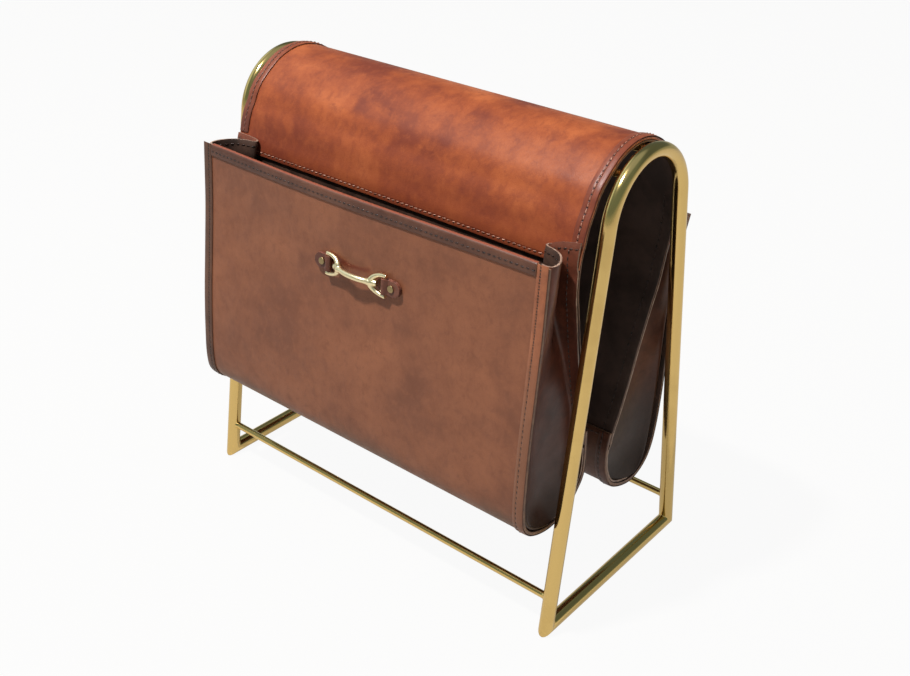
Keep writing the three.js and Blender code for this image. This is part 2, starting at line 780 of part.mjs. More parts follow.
add('handle_bit', handleBit(), paleBrass);
Object.entries(ends).forEach(([name, side]) => {
  add(`handle_${name}_tab`, tab(side), trimLeather);
  add(`handle_${name}_rivet`, rivet(rivetPlaces[name]), paleBrass);
});

// The front pocket reaches out further than the back of the frame, so the basket
// is moved until the origin is under the middle of its whole depth
const extent = new THREE.Box3().setFromObject(basket);
basket.position.y = -(extent.min.y + extent.max.y) / 2;

export default basket;
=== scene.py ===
# %% [markdown]
# # A leather saddlebag on a brass frame
#
# This magazine basket is two things. Two bent brass tubes, joined by rods, make
# an arched frame. A leather saddlebag with a pocket on each side hangs over it.
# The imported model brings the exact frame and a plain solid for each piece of
# leather. This file dresses them: every strip of leather becomes a thin, worn
# sheet with stitches, and every bar becomes round polished brass.

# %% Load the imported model
import math

import bmesh
import bpy
import numpy as np
from mathutils import Matrix, Vector


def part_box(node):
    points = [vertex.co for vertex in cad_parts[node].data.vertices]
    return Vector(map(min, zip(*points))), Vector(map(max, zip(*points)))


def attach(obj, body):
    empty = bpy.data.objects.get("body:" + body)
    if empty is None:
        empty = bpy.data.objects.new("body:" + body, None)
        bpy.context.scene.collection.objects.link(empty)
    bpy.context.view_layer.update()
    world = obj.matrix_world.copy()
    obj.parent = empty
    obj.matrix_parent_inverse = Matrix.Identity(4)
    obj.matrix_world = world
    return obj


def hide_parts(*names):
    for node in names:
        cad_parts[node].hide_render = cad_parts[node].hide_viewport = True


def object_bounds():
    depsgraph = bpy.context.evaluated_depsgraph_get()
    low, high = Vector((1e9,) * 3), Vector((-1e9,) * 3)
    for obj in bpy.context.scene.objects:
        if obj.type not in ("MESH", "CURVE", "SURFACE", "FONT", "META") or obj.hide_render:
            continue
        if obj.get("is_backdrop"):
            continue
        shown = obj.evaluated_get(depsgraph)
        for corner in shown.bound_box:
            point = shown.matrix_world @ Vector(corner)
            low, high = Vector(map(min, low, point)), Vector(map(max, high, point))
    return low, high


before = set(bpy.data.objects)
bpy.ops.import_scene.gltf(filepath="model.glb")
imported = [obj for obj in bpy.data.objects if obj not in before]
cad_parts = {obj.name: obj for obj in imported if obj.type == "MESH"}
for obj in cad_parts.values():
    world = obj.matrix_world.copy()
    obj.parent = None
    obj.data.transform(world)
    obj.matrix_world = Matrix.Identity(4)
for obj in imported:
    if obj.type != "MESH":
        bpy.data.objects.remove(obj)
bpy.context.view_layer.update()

# %% [markdown]
# ## Camera
#
# The camera stands where the straight tubes and the two arches of the frame line
# up with the photograph. Its lens follows from the focal length in pixels, and a
# small shift puts the axis of the lens where it was in the picture.

# %% Camera
PICTURE_WIDTH = 910
PICTURE_HEIGHT = 676
FOCAL_LENGTH_PIXELS = 1208.3
LENS_AXIS_PIXEL = (446.9, 265.8)
SENSOR_MM = 36
CAMERA_PLACE = Vector((0.61695, -0.73860, 0.72230))
CAMERA_AZIMUTH = math.radians(39.34)
CAMERA_ELEVATION = math.radians(26.27)
CAMERA_ROLL = math.radians(1.25)


def camera_turn():
    """The camera's axes as a rotation: right, up and back."""
    az, el = CAMERA_AZIMUTH, CAMERA_ELEVATION
    back = Vector((math.sin(az) * math.cos(el), -math.cos(az) * math.cos(el), math.sin(el)))
    level = Vector((math.cos(az), math.sin(az), 0))
    upright = back.cross(level)
    c, s = math.cos(CAMERA_ROLL), math.sin(CAMERA_ROLL)
    right = c * level + s * upright
    up = c * upright - s * level
    return Matrix((right, up, back)).transposed()


bpy.ops.object.select_all(action="DESELECT")
bpy.ops.object.camera_add(location=CAMERA_PLACE, rotation=camera_turn().to_euler())
camera = bpy.context.active_object
camera.data.sensor_width = SENSOR_MM
camera.data.lens = SENSOR_MM * FOCAL_LENGTH_PIXELS / PICTURE_WIDTH
camera.data.shift_x = (PICTURE_WIDTH / 2 - LENS_AXIS_PIXEL[0]) / PICTURE_WIDTH
camera.data.shift_y = (LENS_AXIS_PIXEL[1] - PICTURE_HEIGHT / 2) / PICTURE_WIDTH
bpy.context.scene.camera = camera
print("lens", round(camera.data.lens, 2), "mm")

# %% [markdown]
# ## Small tools
#
# A few helpers keep the later cells short. An operator acts on everything that is
# selected, so each of these first leaves just the right objects selected. A modifier
# is applied at once, and a primitive's place and turn too, so that every piece
# stays at the origin.


# %% Helpers for objects
def alone(piece):
    """Leaves this object selected and active, and nothing else."""
    bpy.ops.object.select_all(action="DESELECT")
    piece.select_set(True)
    bpy.context.view_layer.objects.active = piece


def added(name):
    """Names the object that an operator has just added."""
    piece = bpy.context.active_object
    piece.name = piece.data.name = name
    return piece


def primitive(name, operator, **settings):
    """Adds a primitive and applies its place and turn."""
    bpy.ops.object.select_all(action="DESELECT")
    operator(**settings)
    piece = added(name)
    bpy.ops.object.transform_apply(location=True, rotation=True, scale=True)
    return piece


def joined(name, pieces):
    """Joins pieces into one."""
    alone(pieces[0])
    for piece in pieces:
        piece.select_set(True)
    bpy.ops.object.join()
    return added(name)


def modified(piece, kind, **settings):
    """Applies a modifier with these settings."""
    alone(piece)
    modifier = piece.modifiers.new(kind.lower(), kind)
    for name, value in settings.items():
        setattr(modifier, name, value)
    bpy.ops.object.modifier_apply(modifier=modifier.name)


# %% [markdown]
# A material is a tree of nodes. `node` adds one and joins its inputs, and the small
# functions after it read like sums: each takes the outputs of other nodes and
# returns its own. `shade` turns the 0 to 255 numbers of a colour picker into the
# linear values that a shader works with.


# %% Helpers for materials
def shade(red, green, blue):
    """A colour as linear values, from 0 to 255 each."""
    levels = [x / 255 for x in (red, green, blue)]
    return [x / 12.92 if x <= 0.04045 else ((x + 0.055) / 1.055) ** 2.4 for x in levels] + [1.0]


def empty_tree(block):
    """The node tree of a material or a world, with nothing in it."""
    block.use_nodes = True
    block.node_tree.nodes.clear()
    return block.node_tree


def is_output(value):
    """Whether a value is a node's output, and not a number or a colour."""
    return isinstance(value, bpy.types.NodeSocket)


def node(tree, kind, inputs=None, **settings):
    """Adds a node. An input is a value, or the output that feeds it."""
    made = tree.nodes.new(kind)
    for name, value in settings.items():
        setattr(made, name, value)
    for name, value in (inputs or {}).items():
        if is_output(value):
            tree.links.new(value, made.inputs[name])
        else:
            made.inputs[name].default_value = value
    return made


def maths(operation, a, b=0.0, clamp=False):
    """The output of a Math node, in the tree of the output that feeds it."""
    tree = (a if is_output(a) else b).id_data
    return node(tree, "ShaderNodeMath", {0: a, 1: b}, operation=operation, use_clamp=clamp).outputs[0]


def plus(a, b):
    """The sum of two values."""
    return maths("ADD", a, b)


def minus(a, b):
    """The difference of two values."""
    return maths("SUBTRACT", a, b)


def times(a, b):
    """The product of two values."""
    return maths("MULTIPLY", a, b)


def size_of(a):
    """A value without its sign."""
    return maths("ABSOLUTE", a)


def faded(value, start, end, low=0.0, high=1.0):
    """Maps a value smoothly from one range to another, and holds it at the ends."""
    return node(value.id_data, "ShaderNodeMapRange", {
        "Value": value, "From Min": start, "From Max": end, "To Min": low, "To Max": high,
    }, interpolation_type="SMOOTHSTEP").outputs[0]


def mottle(place, scale, detail, roughness, distortion=0.0):
    """The output of a noise texture."""
    return node(place.id_data, "ShaderNodeTexNoise", {
        "Vector": place, "Scale": scale, "Detail": detail,
        "Roughness": roughness, "Distortion": distortion,
    }).outputs["Fac"]


def blend(amount, a, b):
    """The colour output of a Mix node."""
    return node(amount.id_data, "ShaderNodeMix", {0: amount, 6: a, 7: b}, data_type="RGBA").outputs[2]


def place_on(tree, kind="Object"):
    """A place on a piece: in its own axes, or on its flat cut for the kind UV."""
    return node(tree, "ShaderNodeTexCoord").outputs[kind]


def parts(vector):
    """X, Y and Z of a vector."""
    return node(vector.id_data, "ShaderNodeSeparateXYZ", {0: vector}).outputs


def new_material(name, metallic=0.0, shine=0.5):
    """A material whose principled shader gets its inputs later: (material, its tree, shader)."""
    material = bpy.data.materials.new(name)
    tree = empty_tree(material)
    shader = node(tree, "ShaderNodeBsdfPrincipled")
    shader.inputs["Metallic"].default_value = metallic
    shader.inputs["Specular IOR Level"].default_value = shine
    node(tree, "ShaderNodeOutputMaterial", {"Surface": shader.outputs[0]})
    return material, tree, shader


def surface(shader, tone, rough, height, strength, distance):
    """Joins colour, roughness and bumps to a shader."""
    tree = shader.id_data
    bump = node(tree, "ShaderNodeBump", {"Height": height, "Strength": strength, "Distance": distance})
    for name, output in (("Base Color", tone), ("Roughness", rough), ("Normal", bump.outputs[0])):
        tree.links.new(output, shader.inputs[name])


# %% [markdown]
# ## Floor, light and world
#
# Polished brass shows what stands around it, so the room matters as much as the
# metal. The floor is white to the camera and in reflections, and still takes the
# object's shadow.

# %% Floor
FLOOR_RADIUS = 6.0
FLOOR_SIDES = 64
FLOOR_DROP = 0.0002
FLOOR_GLOW = 0.94
FLOOR_GLOW_IN_BRASS = 0.45
FLOOR_COLOUR = (0.47, 0.45, 0.41, 1)
WHITE = (1, 1, 1, 1)

floor = primitive("floor", bpy.ops.mesh.primitive_circle_add, vertices=FLOOR_SIDES,
                  radius=FLOOR_RADIUS, fill_type="NGON", location=(0, 0, -FLOOR_DROP))
material = bpy.data.materials.new("white_floor")
tree = empty_tree(material)
lit = node(tree, "ShaderNodeBsdfDiffuse", {"Color": FLOOR_COLOUR}).outputs[0]
white = node(tree, "ShaderNodeEmission", {"Color": WHITE, "Strength": 1.0}).outputs[0]
ray = node(tree, "ShaderNodeLightPath").outputs
seen = maths("MAXIMUM", ray["Is Camera Ray"], ray["Is Transmission Ray"])
share = maths("ADD", times(seen, FLOOR_GLOW), times(ray["Is Glossy Ray"], FLOOR_GLOW_IN_BRASS), clamp=True)
mixed = node(tree, "ShaderNodeMixShader", {0: share, 1: lit, 2: white}).outputs[0]
node(tree, "ShaderNodeOutputMaterial", {"Surface": mixed})
floor.data.materials.append(material)
floor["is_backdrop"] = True

# %% [markdown]
# The world is pale near the horizon and dim above, so that a tube is bright gold
# where it mirrors the floor and olive where it mirrors the room. A paler wall on the
# left and a paler ceiling put the light streaks on the tubes, and a dark wall at the
# back puts the dark upper half on the rods. One soft lamp in front and above gives
# the shine on the saddle and the shadow under the handle. The other two only fill
# the shadows, so the brass doesn't mirror them.

# %% World and lamps
HORIZON_WHITE_UP_TO, HORIZON_DIM_FROM = 0.06, 0.20
PALE_HORIZON = (0.8, 0.78, 0.75, 1)
HORIZON_IN_BRASS = (0.34, 0.38, 0.34, 1)
DIM_ON_LEATHER = (0.185, 0.176, 0.168, 1)
DIM_IN_BRASS = (0.16, 0.22, 0.22, 1)
# Each wall: the direction that it is in, where it starts and is full, and its colour.
WALLS_IN_BRASS = (("X", -0.54, -0.74, (0.66, 0.80, 0.84, 1)),
                  ("Y", 0.22, 0.58, (0.10, 0.135, 0.14, 1)),
                  ("Z", 0.74, 0.90, (0.34, 0.41, 0.46, 1)))

world = bpy.data.worlds.new("room")
bpy.context.scene.world = world
tree = empty_tree(world)
ways = parts(place_on(tree, "Generated"))
walls = DIM_IN_BRASS
for way, start, full, colour in WALLS_IN_BRASS:
    walls = blend(faded(ways[way], start, full), walls, colour)
mirrored = node(tree, "ShaderNodeLightPath").outputs["Is Glossy Ray"]
room = blend(mirrored, DIM_ON_LEATHER, walls)
horizon = blend(mirrored, PALE_HORIZON, HORIZON_IN_BRASS)
dim = faded(ways["Z"], HORIZON_WHITE_UP_TO, HORIZON_DIM_FROM)
sky = node(tree, "ShaderNodeBackground", {"Color": blend(dim, horizon, room)})
node(tree, "ShaderNodeOutputWorld", {"Surface": sky.outputs[0]})


def softbox(name, place, aim, size, watts, in_mirrors):
    """A square soft lamp that looks at a point."""
    turn = (Vector(place) - Vector(aim)).to_track_quat("Z", "Y")
    bpy.ops.object.select_all(action="DESELECT")
    bpy.ops.object.light_add(type="AREA", location=place, rotation=turn.to_euler())
    lamp = added(name)
    lamp.data.shape = "SQUARE"
    lamp.data.size = size
    lamp.data.energy = watts
    lamp.visible_glossy = in_mirrors


softbox("key_lamp", (-0.40, -1.06, 2.66), (0, -0.02, 0.28), 0.16, 83, in_mirrors=True)
softbox("fill_lamp", (-1.9, 0.1, 1.85), (0, 0, 0.3), 1.8, 9, in_mirrors=False)
softbox("back_lamp", (0.6, 1.9, 2.1), (0, 0, 0.2), 1.3, 9, in_mirrors=False)
bpy.context.scene.view_settings.view_transform = "Standard"

# %% [markdown]
# ## Brass
#
# The real tube is polished and lacquered. It's almost a mirror: the colour lives
# in the reflection, so the shader is fully metallic. Faint smudges change the
# roughness and tone a little, and very fine bumps keep it from looking like a
# perfect computer surface.


# %% Brass materials
SMUDGE_NOISE = (26, 4, 0.6, 0.3)
SPECK_NOISE = (240, 3, 0.6)
SPECK_DEPTH = (0.05, 0.0002)
STAIN = 0.35


def brass(name, colour, tarnish, rough):
    """Polished metal with faint smudges and a trace of tarnish."""
    material, tree, shader = new_material(name, metallic=1.0)
    place = place_on(tree)
    smudge = mottle(place, *SMUDGE_NOISE)
    tone = blend(faded(smudge, 0.48, 0.72, 0, STAIN), shade(*colour), shade(*tarnish))
    surface(shader, tone, faded(smudge, 0.3, 0.7, *rough), mottle(place, *SPECK_NOISE), *SPECK_DEPTH)
    return material


POLISHED_BRASS = brass("polished_brass", (228, 194, 123), (204, 170, 103), (0.12, 0.19))
PALE_BRASS = brass("pale_brass", (252, 234, 190), (236, 212, 158), (0.26, 0.38))
DULL_BRASS = brass("dull_brass", (166, 146, 106), (128, 110, 78), (0.42, 0.55))

# %% [markdown]
# ## Leather
#
# Vegetable-tanned leather is never one colour. Its dye gathers in clouds, it is
# darker where it was pressed beside a seam, and a cut edge shows its paler core.
# The seam's groove also gets painted shade, and its needle holes are painted
# near-black, as shade.
# A sheet is made flat before it is bent, so its UV map is simply the flat cut in
# metres. The shader reads that map, so clouds, grain, the pressed line of a seam
# and its needle holes all follow the sheet round its bends.


# %% Masks on leather
SEAM_PRESS = (0.0003, 0.0016)
HOLE_REACH = (0.0005, 0.0010)
HOLE_SHARE = (0.34, 0.44)
RUB_ENDS = (0.7, 1.0)
RUB_EDGE = (0.6, 1.3)
RUB_STRENGTH = 0.85


def flat_distances(tree, width, length):
    """Distance from the nearest side edge and end edge of a flat cut, and the place."""
    place = place_on(tree, "UV")
    axes = parts(place)
    gaps = [minus(size / 2, size_of(minus(axes[axis], size / 2)))
            for axis, size in (("X", width), ("Y", length))]
    return place, axes, gaps


def seam_masks(tree, axes, gaps, kind, distance, pitch):
    """Where a seam presses the leather, and where its needle holes are."""
    if kind == "from_middle":
        gap, along = size_of(parts(place_on(tree))["X"]), axes["Y"]
    else:
        gap, along = gaps[1], axes["X"]
    away = size_of(minus(gap, distance))
    middle = size_of(minus(maths("FRACT", maths("DIVIDE", along, pitch)), 0.5))
    return faded(away, *SEAM_PRESS, 1, 0), times(faded(middle, *HOLE_SHARE), faded(away, *HOLE_REACH, 1, 0))


def rub_mask(tree, patch, x, z, reach, sag, width):
    """Where a hanging bar has rubbed the leather: a bowed stroke above it."""
    axes = parts(place_on(tree))
    across = maths("DIVIDE", minus(axes["X"], x), reach)
    bowed = times(maths("POWER", size_of(across), 2.0), sag)
    ragged = plus(size_of(minus(minus(axes["Z"], z), bowed)), times(patch, width))
    ends = faded(size_of(across), *RUB_ENDS, 1, 0)
    return times(faded(ragged, *[width * x for x in RUB_EDGE], RUB_STRENGTH, 0), ends)


# %% Leather materials
CLOUD_NOISE = (11, 7, 0.62, 0.2)
PATCH_NOISE = (46, 6, 0.68, 0.3)
BRUSH_NOISE = (130, 5, 0.68, 0.3)
BRUSH_STRETCH = (1, 0.7, 1)
GRAIN_NOISE = (900, 3, 0.6)
GRAIN_DEPTH = (0.5, 0.0005)
PORE_HEIGHT, BRUSH_HEIGHT, SEAM_HEIGHT = 0.20, 0.5, 0.8
EDGE_WEAR = (0.006, 0.022)
EDGE_RAGGED = 0.012
FOLD_HIGHLIGHT_REACH = (0.0012, 0.0026)
FOLD_RAGGED = 0.0008
FOLD_STRENGTH = 0.9
PAINTED_LIGHT_RAGGED = 0.05
SEAM_SHADE = 0.8
HOLE_SHADE_COLOUR = (18, 11, 9)
HOLE_SHADE_STRENGTH = 0.95
RUB_COLOUR = (112, 54, 38)


def leather(name, pale, middle, deep, flat=None, seam=None, groove=0.5, gloss=(0.34, 0.48),
            edge_dark=0.5, clouds=1.0, fold_highlight=None, painted_light_below=None, rub=None, shine=0.34):
    """Dyed leather: clouds of colour, fine grain, darker pressed seams, and wear, with painted light: shade
    in seams and needle holes, a highlight along a fold, and painted shade and a painted floor reflection
    below a height.
    """
    material, tree, shader = new_material(name, shine=shine)
    if flat:
        place, axes, gaps = flat_distances(tree, *flat)
    else:
        place = place_on(tree)
    cloud = mottle(place, *CLOUD_NOISE)
    patch = mottle(place, *PATCH_NOISE)
    brushed = node(tree, "ShaderNodeMapping", {"Vector": place, "Scale": BRUSH_STRETCH}).outputs[0]
    brush = mottle(brushed, *BRUSH_NOISE)
    grain = mottle(place, *GRAIN_NOISE)
    pores = node(tree, "ShaderNodeTexVoronoi",
                 {"Vector": place, "Scale": GRAIN_NOISE[0]}).outputs["Distance"]
    tone = shade(*deep)
    # Each layer: its mask, where that starts and is full, its strength at both, and its colour.
    for mask, start, end, low, high, colour in (
            (cloud, 0.34, 0.54, 1 - clouds, 1, middle), (cloud, 0.48, 0.68, 0, clouds, pale),
            (patch, 0.50, 0.72, 0, 0.5 * clouds, deep), (patch, 0.50, 0.32, 0, 0.3 * clouds, pale),
            (brush, 0.48, 0.70, 0, 0.42, deep), (brush, 0.50, 0.28, 0, 0.30, pale),
            (grain, 0.3, 0.7, 0, 0.16, deep)):
        tone = blend(faded(mask, start, end, low, high), tone, shade(*colour))
    height = plus(times(pores, PORE_HEIGHT), times(brush, BRUSH_HEIGHT))
    if flat:
        ragged = plus(maths("MINIMUM", *gaps), times(patch, EDGE_RAGGED))
        tone = blend(faded(ragged, *EDGE_WEAR, edge_dark, 0), tone, shade(*deep))
    if seam:
        pressed, holes = seam_masks(tree, axes, gaps, *seam)
        # Painted shade: the seam's groove is darker, partly as pressed leather and partly as shade, and its
        # needle holes are painted near-black as shade.
        tone = blend(times(pressed, groove), tone, shade(*[x * SEAM_SHADE for x in deep]))
        tone = blend(times(holes, HOLE_SHADE_STRENGTH), tone, shade(*HOLE_SHADE_COLOUR))
        height = minus(minus(height, times(pressed, SEAM_HEIGHT)), holes)
    # Painted highlight along the rounded fold of a binding strip.
    if fold_highlight:
        distance, colour = fold_highlight
        rubbed = plus(size_of(minus(axes["Y"], distance)), times(patch, FOLD_RAGGED))
        tone = blend(faded(rubbed, *FOLD_HIGHLIGHT_REACH, FOLD_STRENGTH, 0), tone, shade(*colour))
    # Painted light below a height, made ragged by the clouds: painted shade on most pieces, and a painted
    # reflection of the floor at the front pocket's foot.
    if painted_light_below:
        low, high, colour, strength = painted_light_below
        uneven = plus(parts(place_on(tree))["Z"], times(cloud, PAINTED_LIGHT_RAGGED))
        low, high = low + PAINTED_LIGHT_RAGGED / 2, high + PAINTED_LIGHT_RAGGED / 2
        tone = blend(faded(uneven, low, high, strength, 0), tone, shade(*colour))
    if rub:
        tone = blend(rub_mask(tree, patch, **rub), tone, shade(*RUB_COLOUR))
    surface(shader, tone, faded(patch, 0.3, 0.7, *gloss), height, *GRAIN_DEPTH)
    return material


FIBRE_NOISE = (5, 0.65, 0.4)
FIBRE_GLOSS = (-0.06, 0.08)
FLUFF_NOISE = (3, 0.6)
FLUFF_FINENESS = 14
FLUFF_DEPTH = (0.4, 0.0003)


def plain_leather(name, colour, dark, scale=60, rough=0.5):
    """A cut edge, flesh side or thread: two shades of one colour."""
    material, tree, shader = new_material(name)
    place = place_on(tree)
    fibre = mottle(place, scale, *FIBRE_NOISE)
    surface(shader, blend(faded(fibre, 0.35, 0.65), shade(*dark), shade(*colour)),
            faded(fibre, 0.3, 0.7, *[rough + x for x in FIBRE_GLOSS]),
            mottle(place, scale * FLUFF_FINENESS, *FLUFF_NOISE), *FLUFF_DEPTH)
    return material


CUT_EDGE = plain_leather("cut_edge", (150, 118, 98), (100, 70, 56), 90)
WARM_EDGE = plain_leather("warm_edge", (204, 124, 84), (150, 84, 54), 120, 0.38)
BEIGE_EDGE = plain_leather("beige_edge", (150, 112, 88), (112, 78, 60), 140, 0.42)
STRIP_EDGE = plain_leather("strip_edge", (118, 84, 66), (84, 58, 46), 140, 0.42)
# Painted shade: the saddle strips' cut edges are dark, as the shadow in the crease beside the panel.
SHADED_CUT_EDGE = plain_leather("shaded_cut_edge", (92, 50, 38), (60, 33, 26), 140, 0.42)
PALE_EDGE = plain_leather("pale_edge", (190, 160, 140), (134, 104, 88), 140, 0.4)
FLESH_SIDE = plain_leather("flesh_side", (78, 51, 38), (50, 32, 24), 70, 0.62)
# The waxed thread's pale tone is partly a painted highlight, and the shaded thread is the same thread with
# painted shade.
THREAD = plain_leather("waxed_thread", (200, 144, 120), (120, 74, 58), 260, 0.3)
SHADED_THREAD = plain_leather("shaded_thread", (140, 92, 74), (84, 52, 42), 260, 0.35)
DARK_THREAD = plain_leather("dark_thread", (66, 42, 34), (34, 21, 17), 260, 0.3)

# %% [markdown]
# ## The line that a sheet follows
#
# Each strip of leather keeps one outline all along the basket, like a slice. The
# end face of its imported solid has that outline, so the line is read from there,
# split at its four corners into an outer and an inner run, and smoothed. The
# leather then lies where the frame says, with nothing measured twice.


# %% Reading and smoothing lines
CORNER_TURN = math.radians(60)
SMOOTH_STEPS = 4
SAME_PLACE = 1e-6
SHEETS = ("saddle_lining", "saddle_panel", "saddle_left_binding", "front_pocket_sling",
          "front_pocket_binding", "front_pocket_left_strip", "back_pocket_sling",
          "back_pocket_binding", "back_pocket_left_strip")


def end_outline(name):
    """The outline of a solid's left end face, in order: one row of Y and Z a point."""
    shape = bmesh.new()
    shape.from_mesh(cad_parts[name].data)
    bmesh.ops.remove_doubles(shape, verts=shape.verts, dist=SAME_PLACE)
    left = min(v.co.x for v in shape.verts)
    cap = {f for f in shape.faces if all(abs(v.co.x - left) < SAME_PLACE for v in f.verts)}
    rim = {e for e in shape.edges if sum(f in cap for f in e.link_faces) == 1}
    start = next(iter(rim)).verts[0]
    here, path = start, []
    while rim:
        path.append(here)
        edge = next(e for e in here.link_edges if e in rim)
        rim.remove(edge)
        here = edge.other_vert(here)
    points = np.array([[v.co.y, v.co.z] for v in path])
    shape.free()
    return points


def smoothed(points, steps=SMOOTH_STEPS):
    """More points on a smooth curve through these, with the same ends."""
    p = np.vstack([2 * points[:1] - points[1:2], points, 2 * points[-1:] - points[-2:-1]])
    rows = []
    for a, b, c, d in zip(p[:-3], p[1:-2], p[2:-1], p[3:]):
        for t in np.arange(steps) / steps:
            rows.append(0.5 * (2 * b + (c - a) * t + (2 * a - 5 * b + 4 * c - d) * t ** 2
                               + (3 * b - a - 3 * c + d) * t ** 3))
    return np.array(rows + [points[-1]])


def runs(points):
    """Distance along a line at each of its points."""
    return np.concatenate([[0], np.cumsum(np.linalg.norm(np.diff(points, axis=0), axis=1))])


def unit(rows):
    """The same directions, each of length 1."""
    return rows / np.linalg.norm(rows, axis=-1, keepdims=True)


def eased(share):
    """A share held between 0 and 1, with a soft start and end."""
    share = np.clip(share, 0, 1)
    return share * share * (3 - 2 * share)


def long_lines(name):
    """The outer and the inner line of a strip of leather, from its front end."""
    points = end_outline(name)
    before = points - np.roll(points, 1, axis=0)
    after = np.roll(points, -1, axis=0) - points
    turn = np.abs(np.arctan2(before[:, 0] * after[:, 1] - before[:, 1] * after[:, 0],
                             (before * after).sum(axis=1)))
    corners = np.where(turn > CORNER_TURN)[0]
    points = np.roll(points, -corners[0], axis=0)
    corners = list(corners - corners[0]) + [len(points)]
    pieces = [np.vstack([points, points[:1]])[a:b + 1] for a, b in zip(corners[:-1], corners[1:])]
    first, second = sorted(pieces, key=lambda piece: -runs(piece)[-1])[:2]
    first, second = [line if line[0][0] < line[-1][0] else line[::-1] for line in (first, second)]
    return smoothed(first), smoothed(second)


def rows_at(run, rows, distance):
    """Rows of numbers, read at these distances between the places where they are known."""
    return np.stack([np.interp(distance, run, column) for column in rows.T], axis=-1)


def point_at(line, distance):
    """Points on a line at these distances from its start."""
    return rows_at(runs(line), line, distance)


def facing_at(line, distance, other):
    """Unit normals of a line at these distances, pointing away from the other line."""
    step = runs(line)[-1] / len(line)
    ahead = point_at(line, distance + step) - point_at(line, distance - step)
    normal = unit(np.stack([-ahead[..., 1], ahead[..., 0]], axis=-1))
    middle = len(line) // 2
    rise = line[middle + 1] - line[middle - 1]
    test = np.array([-rise[1], rise[0]])
    return normal if test @ (line[middle] - other[len(other) // 2]) > 0 else -normal


def reach_at(line, height):
    """Y of a line where it first crosses this height, or at its nearest point."""
    over = line[:, 1] - height
    cross = np.where(over[:-1] * over[1:] <= 0)[0]
    if len(cross) == 0:
        return line[np.argmin(np.abs(over)), 0]
    a, b = line[cross[0]], line[cross[0] + 1]
    if a[1] == b[1]:
        return a[0]
    return a[0] + (b[0] - a[0]) * (height - a[1]) / (b[1] - a[1])


lines = {name: long_lines(name) for name in SHEETS}
for name, (outer, inner) in lines.items():
    print(name, "is", round(runs(outer)[-1] * 1000), "mm long outside and",
          round(runs(inner)[-1] * 1000), "inside")

# %% [markdown]
# ## Cutting and bending a sheet
#
# A sheet starts as a flat grid, the leather as it's cut. Each vertex then moves to
# its place on the line, which bends the grid as a hand bends leather. Solidify
# gives the thickness, with other materials for the flesh side and the cut edge,
# and Bevel rounds the edges as a maker's edge slicker does.

# %% Sheet tools
CELL = 0.004
EDGE_ROUND = 0.0005
EDGE_ANGLE = math.radians(55)
SMOOTH_ANGLE = math.radians(50)
SIDES = ((-1, "left"), (1, "right"))
BAG_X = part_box("saddle_lining")[1].x
BELLY = 0.0044
BELLY_LEAN = 0.8
BELLY_FROM = 0.235
BELLY_TOP = 0.343
BELLY_BACK = -0.064
BELLY_FADE = 0.020
PAD_FULLNESS = 0.7


def coordinates(piece):
    """The vertices of a piece as an array."""
    co = np.empty(len(piece.data.vertices) * 3)
    piece.data.vertices.foreach_get("co", co)
    return co.reshape(-1, 3)


def place_vertices(piece, co):
    """Moves the vertices of a piece."""
    piece.data.vertices.foreach_set("co", np.ascontiguousarray(co, dtype=float).ravel())
    piece.data.update()


def flat_cut(name, width, length, columns, rows):
    """A flat grid of unit size, whose UV map is the flat cut in metres."""
    piece = primitive(name, bpy.ops.mesh.primitive_grid_add,
                      x_subdivisions=columns, y_subdivisions=rows, size=1)
    layer = piece.data.uv_layers.active.data
    uv = np.empty(len(layer) * 2)
    layer.foreach_get("uv", uv)
    layer.foreach_set("uv", (uv.reshape(-1, 2) * (width, length)).ravel())
    return piece


def thickened(piece, thickness, finish, towards=None, offset=-1.0, edge_round=EDGE_ROUND):
    """Gives a bent sheet its thickness, on the side that faces a point.

    Its finish is a material for the face, one for the back and one for the cut edge.
    """
    for material in finish:
        piece.data.materials.append(material)
    middle = piece.data.polygons[len(piece.data.polygons) // 2]
    if towards is not None and middle.normal @ (middle.center - Vector(towards)) < 0:
        piece.data.flip_normals()
    modified(piece, "SOLIDIFY", thickness=thickness, offset=offset, use_even_offset=True,
             material_offset=1, material_offset_rim=2)
    modified(piece, "BEVEL", width=edge_round, segments=2, limit_method="ANGLE", angle_limit=EDGE_ANGLE)
    bpy.ops.object.shade_smooth_by_angle(angle=SMOOTH_ANGLE)


def bellied(co):
    """The front pocket's panel stands out a little between its two ends."""
    share = np.clip((co[:, 0] + BAG_X) / (2 * BAG_X), 0, 1)
    across = np.sin(math.pi * share ** BELLY_LEAN) ** 2
    height = eased((co[:, 2] - BELLY_FROM) / (BELLY_TOP - BELLY_FROM))
    outside = np.clip((BELLY_BACK - co[:, 1]) / BELLY_FADE, 0, 1)
    moved = co.copy()
    moved[:, 1] -= BELLY * across * height * outside
    return moved


